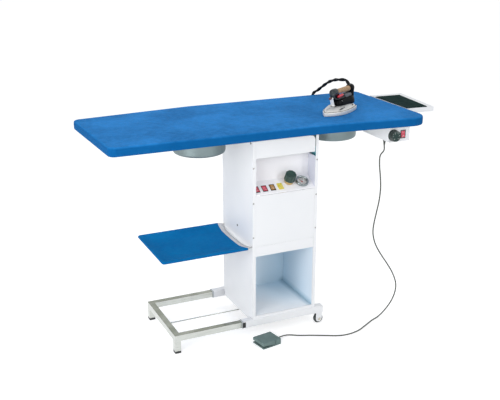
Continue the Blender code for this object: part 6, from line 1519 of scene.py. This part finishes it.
across_iron = iron_place.to_3x3() @ Vector((0, 1, 0))


def bent(mesh_data, route, spacing, section, aside=0.0):
    """Carry a section along a path of (u, z) in the iron's upright middle plane."""
    points, _ = smooth_route([iron_spot(u, aside, z) for u, z in route], spacing)
    last = len(points) - 1
    rings = []
    for index, point in enumerate(points):
        ahead = (points[min(index + 1, last)] - points[max(index - 1, 0)]).normalized()
        up = ahead.cross(across_iron).normalized()
        rings.append([point + across_iron * a + up * b for a, b in section(index / last)])
    stack(mesh_data, rings)


def guard_section(share):
    """Thick at the boss, then a flat strap that ends in a blunt tongue."""
    thin = min(1.0, share * 4.5)
    tongue = math.sqrt(max(0.06, 1 - (max(0.0, share - 0.93) / 0.07) ** 2))
    return oval((0.0118 - 0.0012 * thin) * tongue, 0.0075 - 0.0050 * thin, 0.72, 28)


guard = bmesh.new()
bent(guard, [
    (0.0560, 0.0880), (0.0512, 0.0838), (0.0494, 0.0790), (0.0502, 0.0736), (0.0540, 0.0684),
    (0.0604, 0.0636), (0.0700, 0.0600), (0.0870, 0.0578), (0.1080, 0.0574), (0.1280, 0.0584),
    (0.1440, 0.0610),
], 0.0018, guard_section, -0.0030)
piece("iron_knuckle_guard", guard, guard_plastic, "iron", ["iron_body"], 50)


cork, tree, shader = new_finish("pressed_cork", (0.42, 0.255, 0.135), 0.82)
place = object_place(tree)
crumbs = add(tree, "ShaderNodeTexVoronoi", {"Vector": place, "Scale": 520.0})
crumb_tone = add(tree, "ShaderNodeSeparateColor", {0: crumbs.outputs["Color"]}).outputs[0]
blotched = compute(tree, "MULTIPLY", crumb_tone, cloud(tree, place, 160.0, 4.0, 0.32, 0.68))
two_tones(tree, shader, blotched, (0.50, 0.325, 0.185), (0.25, 0.135, 0.068))
raise_by(tree, shader, crumbs.outputs["Distance"], 0.0006, 0.6)
raise_by(tree, shader, cloud(tree, place, 300.0, 3.0), 0.0003, 0.5)
grip = bmesh.new()
lathe(grip, round_off([
    (0.0, 0.0), (0.0088, 0.0), (0.0094, 0.0020), (0.0100, 0.0300), (0.0106, 0.0600),
    (0.0112, 0.0860), (0.0110, 0.0970), (0.0104, 0.1005), (0.0, 0.1005),
], 0.0014, 4), grip_place @ Matrix.Translation((0, 0, 0.0375)), 56)
piece("cork_grip", grip, cork, "iron", ["iron_grip"], 40)

lever_red = tinted("lever_red", (0.560, 0.010, 0.028), (0.680, 0.022, 0.045), 0.30)
lever = bmesh.new()


def lever_section(share):
    """Blunt and round at both ends, a little wider than high."""
    swell = math.sqrt(max(0.05, 1 - abs(2 * share - 1) ** 5))
    return oval(0.0062 * swell, 0.0056 * swell, 0.85)


bent(lever, [
    (0.0795, 0.0676), (0.0880, 0.0680), (0.0980, 0.0688), (0.1100, 0.0696), (0.1240, 0.0702),
], 0.0014, lever_section, -0.0100)
piece("steam_lever", lever, lever_red, "iron_trigger", ["iron_trigger"], 50)

shield_plastic = moulded("grey_shield", (0.100, 0.112, 0.130), (0.135, 0.148, 0.168), 0.40)
shield = bmesh.new()
shield_line = [(-0.0135, 0.0520), (0.0135, 0.0520), (0.0125, 0.0700), (-0.0125, 0.0700)]
upright(shield, shield_line, 0.1420, 0.1925, 0.0040, 0.0060)
piece("iron_switch_shield", shield, shield_plastic, "iron")


def strap_section(share):
    """Flat, and rounded off at its lower end."""
    end = max(0.0, share - 0.93) / 0.07
    wide = 0.0078 * math.sqrt(max(0.05, 1 - end ** 2))
    return round_off(rectangle(-wide, wide, -0.0009, 0.0009), 0.0004, 2, closed=True)


strap = bmesh.new()
# The chrome strap is painted a flat near white, not metallic, as a painted highlight.
polished = metal("strap_painted_white_highlight", (0.95, 0.95, 0.94), 0.26, 26.0)
polished.node_tree.nodes["Principled BSDF"].inputs["Metallic"].default_value = 0.0
bent(strap, [
    (0.0560, 0.0690), (0.0520, 0.0698), (0.0490, 0.0682), (0.0488, 0.0645), (0.0512, 0.0580),
    (0.0548, 0.0500), (0.0580, 0.0430), (0.0602, 0.0370), (0.0622, 0.0338), (0.0660, 0.0326),
    (0.0715, 0.0324),
], 0.0014, strap_section)
lathe(strap, round_off([
    (0.0, 0.0), (0.0076, 0.0), (0.0078, 0.0016), (0.0066, 0.0026), (0.0, 0.0030),
], 0.0006), Matrix.Translation(iron_spot(0.0655, 0.0, 0.0316)), 40)
piece("iron_chrome_strap", strap, polished, "iron")
seat = bmesh.new()
lathe(seat, round_off([(0.0, 0.0), (0.0118, 0.0), (0.0118, 0.0016), (0.0, 0.0018)], 0.0006),
      Matrix.Translation(iron_spot(0.0665, 0.0, 0.0298)), 48)
piece("iron_strap_seat", seat, black_phenolic, "iron")
valve_knob_red = tinted("brown_red_knob", (0.090, 0.030, 0.034), (0.130, 0.044, 0.050), 0.35)
valve_knob = bmesh.new()
back_of_iron = iron_place.to_3x3() @ Vector((-1, 0, 0))


def knob_flutes(angle, height):
    return 0.0005 * (0.5 + 0.5 * math.cos(12 * angle)) if height > 0.0034 else 0.0


lathe(valve_knob, round_off([
    (0.0, 0.0), (0.0022, 0.0), (0.0022, 0.0030), (0.0050, 0.0036), (0.0052, 0.0125),
    (0.0042, 0.0142), (0.0, 0.0144),
], 0.0007, 3), facing(iron_spot(0.0488, 0.0, 0.0662), back_of_iron), 60, wave=knob_flutes)
piece("iron_valve_knob", valve_knob, valve_knob_red, "iron")
sole_screws = []
for u, v, height in ((0.0160, 0.0, 0.0158), (0.0930, -0.0345, 0.0262), (0.0930, 0.0345, 0.0262),
                     (0.1650, -0.0330, 0.0240), (0.1650, 0.0330, 0.0240)):
    tilt = iron_place.to_3x3() @ Vector((0.0, math.copysign(0.8, v) if v else 0.0, 1.0))
    sole_screws.append((iron_spot(u, v, height), tilt, u * 30))
dark_steel = metal("blackened_screw", (0.110, 0.105, 0.100), 0.38)
screw_row("sole_screws", sole_screws, "iron", dark_steel, 0.0032, 0.0018)
shell_screws = []
for u, v in ((0.0990, -0.0205), (0.1200, -0.0215)):
    out = iron_place.to_3x3() @ Vector((-0.10, -1.0, 0.45))
    shell_screws.append((iron_spot(u, v, 0.0500), out, u * 25))
screw_row("shell_screws", shell_screws, "iron", screw_steel, 0.0026, 0.0014)
lug = bmesh.new()
bent(lug, [(0.0560, 0.0238), (0.0700, 0.0249), (0.0820, 0.0255)], 0.0020,
     lambda share: oval(0.0016 + 0.0012 * share, 0.0016, 0.8, 16), -0.0365)
piece("sole_terminal_lug", lug, dark_steel, "iron")


# Foot pedal. A base and a hinged flap moulded in dark green plastic, with a block at the end
# where the cord goes in.
pedal_plastic = moulded("dark_green_pedal", (0.125, 0.188, 0.180), (0.150, 0.220, 0.212),
                        0.52, 650.0, 0.00012, 0.3)
dress("pedal_base", pedal_plastic, 0.0012, 3)
dress("pedal_flap", pedal_plastic, 0.0012, 3)


# Floor and light. A wide pale floor that runs into a white room, a large soft lamp at the
# front left of the table with a low one beside it, and weaker ones at the front right and above
# the back.
def seen_directly(tree):
    """One for rays that show a surface by itself, in gloss or through glass, and else nought."""
    ray = add(tree, "ShaderNodeLightPath").outputs
    seen = compute(tree, "MAXIMUM", ray["Is Camera Ray"], ray["Is Glossy Ray"])
    return compute(tree, "MAXIMUM", seen, ray["Is Transmission Ray"])


floor_reach, glow_share = 30, 0.48
floor_mesh = bpy.data.meshes.new("floor")
floor_line = rectangle(-floor_reach, floor_reach, -floor_reach, floor_reach)
floor_mesh.from_pydata([(*spot, 0) for spot in floor_line], [], [(0, 1, 2, 3)])
floor = linked("floor", floor_mesh)
floor_paint, tree, shader = new_finish("pale_floor", (0.80, 0.80, 0.80), 0.9)
shader.inputs["Specular IOR Level"].default_value = 0.0
lift = compute(tree, "MULTIPLY", seen_directly(tree), glow_share)
glow = add(tree, "ShaderNodeEmission", {"Color": (1.0, 1.0, 1.0, 1.0), "Strength": lift})
together = add(tree, "ShaderNodeAddShader", {0: shader.outputs[0], 1: glow.outputs[0]})
tree.links.new(together.outputs[0], tree.nodes["Material Output"].inputs["Surface"])
floor_mesh.materials.append(floor_paint)

room = bpy.data.worlds.new("white_room")
room.use_nodes = True
tree = room.node_tree
soft_light = tree.nodes["Background"]
soft_light.inputs["Color"].default_value = (0.96, 0.98, 1.0, 1.0)
soft_light.inputs["Strength"].default_value = 0.68
white_room = add(tree, "ShaderNodeBackground", {"Color": (1.0, 1.0, 1.0, 1.0), "Strength": 1.0})
either = add(tree, "ShaderNodeMixShader", {
    0: seen_directly(tree), 1: soft_light.outputs[0], 2: white_room.outputs[0],
})
tree.links.new(either.outputs[0], tree.nodes["World Output"].inputs["Surface"])
bpy.context.scene.world = room


def soft_lamp(name, place, target, size, power, colour):
    lamp = bpy.data.lights.new(name, "AREA")
    lamp.shape = "DISK"
    lamp.size = size
    lamp.energy = power
    lamp.color = colour
    made = linked(name, lamp)
    made.location = place
    made.rotation_euler = (Vector(target) - Vector(place)).to_track_quat("-Z", "Y").to_euler()


soft_lamp("left_lamp", (-3.0, -2.2, 2.0), (0.0, 0.0, 0.6), 2.4, 55.0, (1.0, 0.99, 0.98))
soft_lamp("fill_lamp", (-2.6, -1.2, 0.35), (-0.14, 0.0, 0.6), 1.2, 17.0, (1.0, 1.0, 1.0))
soft_lamp("right_lamp", (1.6, -3.4, 1.9), (0.0, 0.0, 0.6), 0.6, 24.0, (1.0, 1.0, 1.0))
soft_lamp("back_lamp", (0.3, 1.6, 3.2), (0.0, 0.0, 0.6), 2.0, 14.0, (1.0, 1.0, 1.0))
bpy.context.scene.view_settings.view_transform = "Standard"
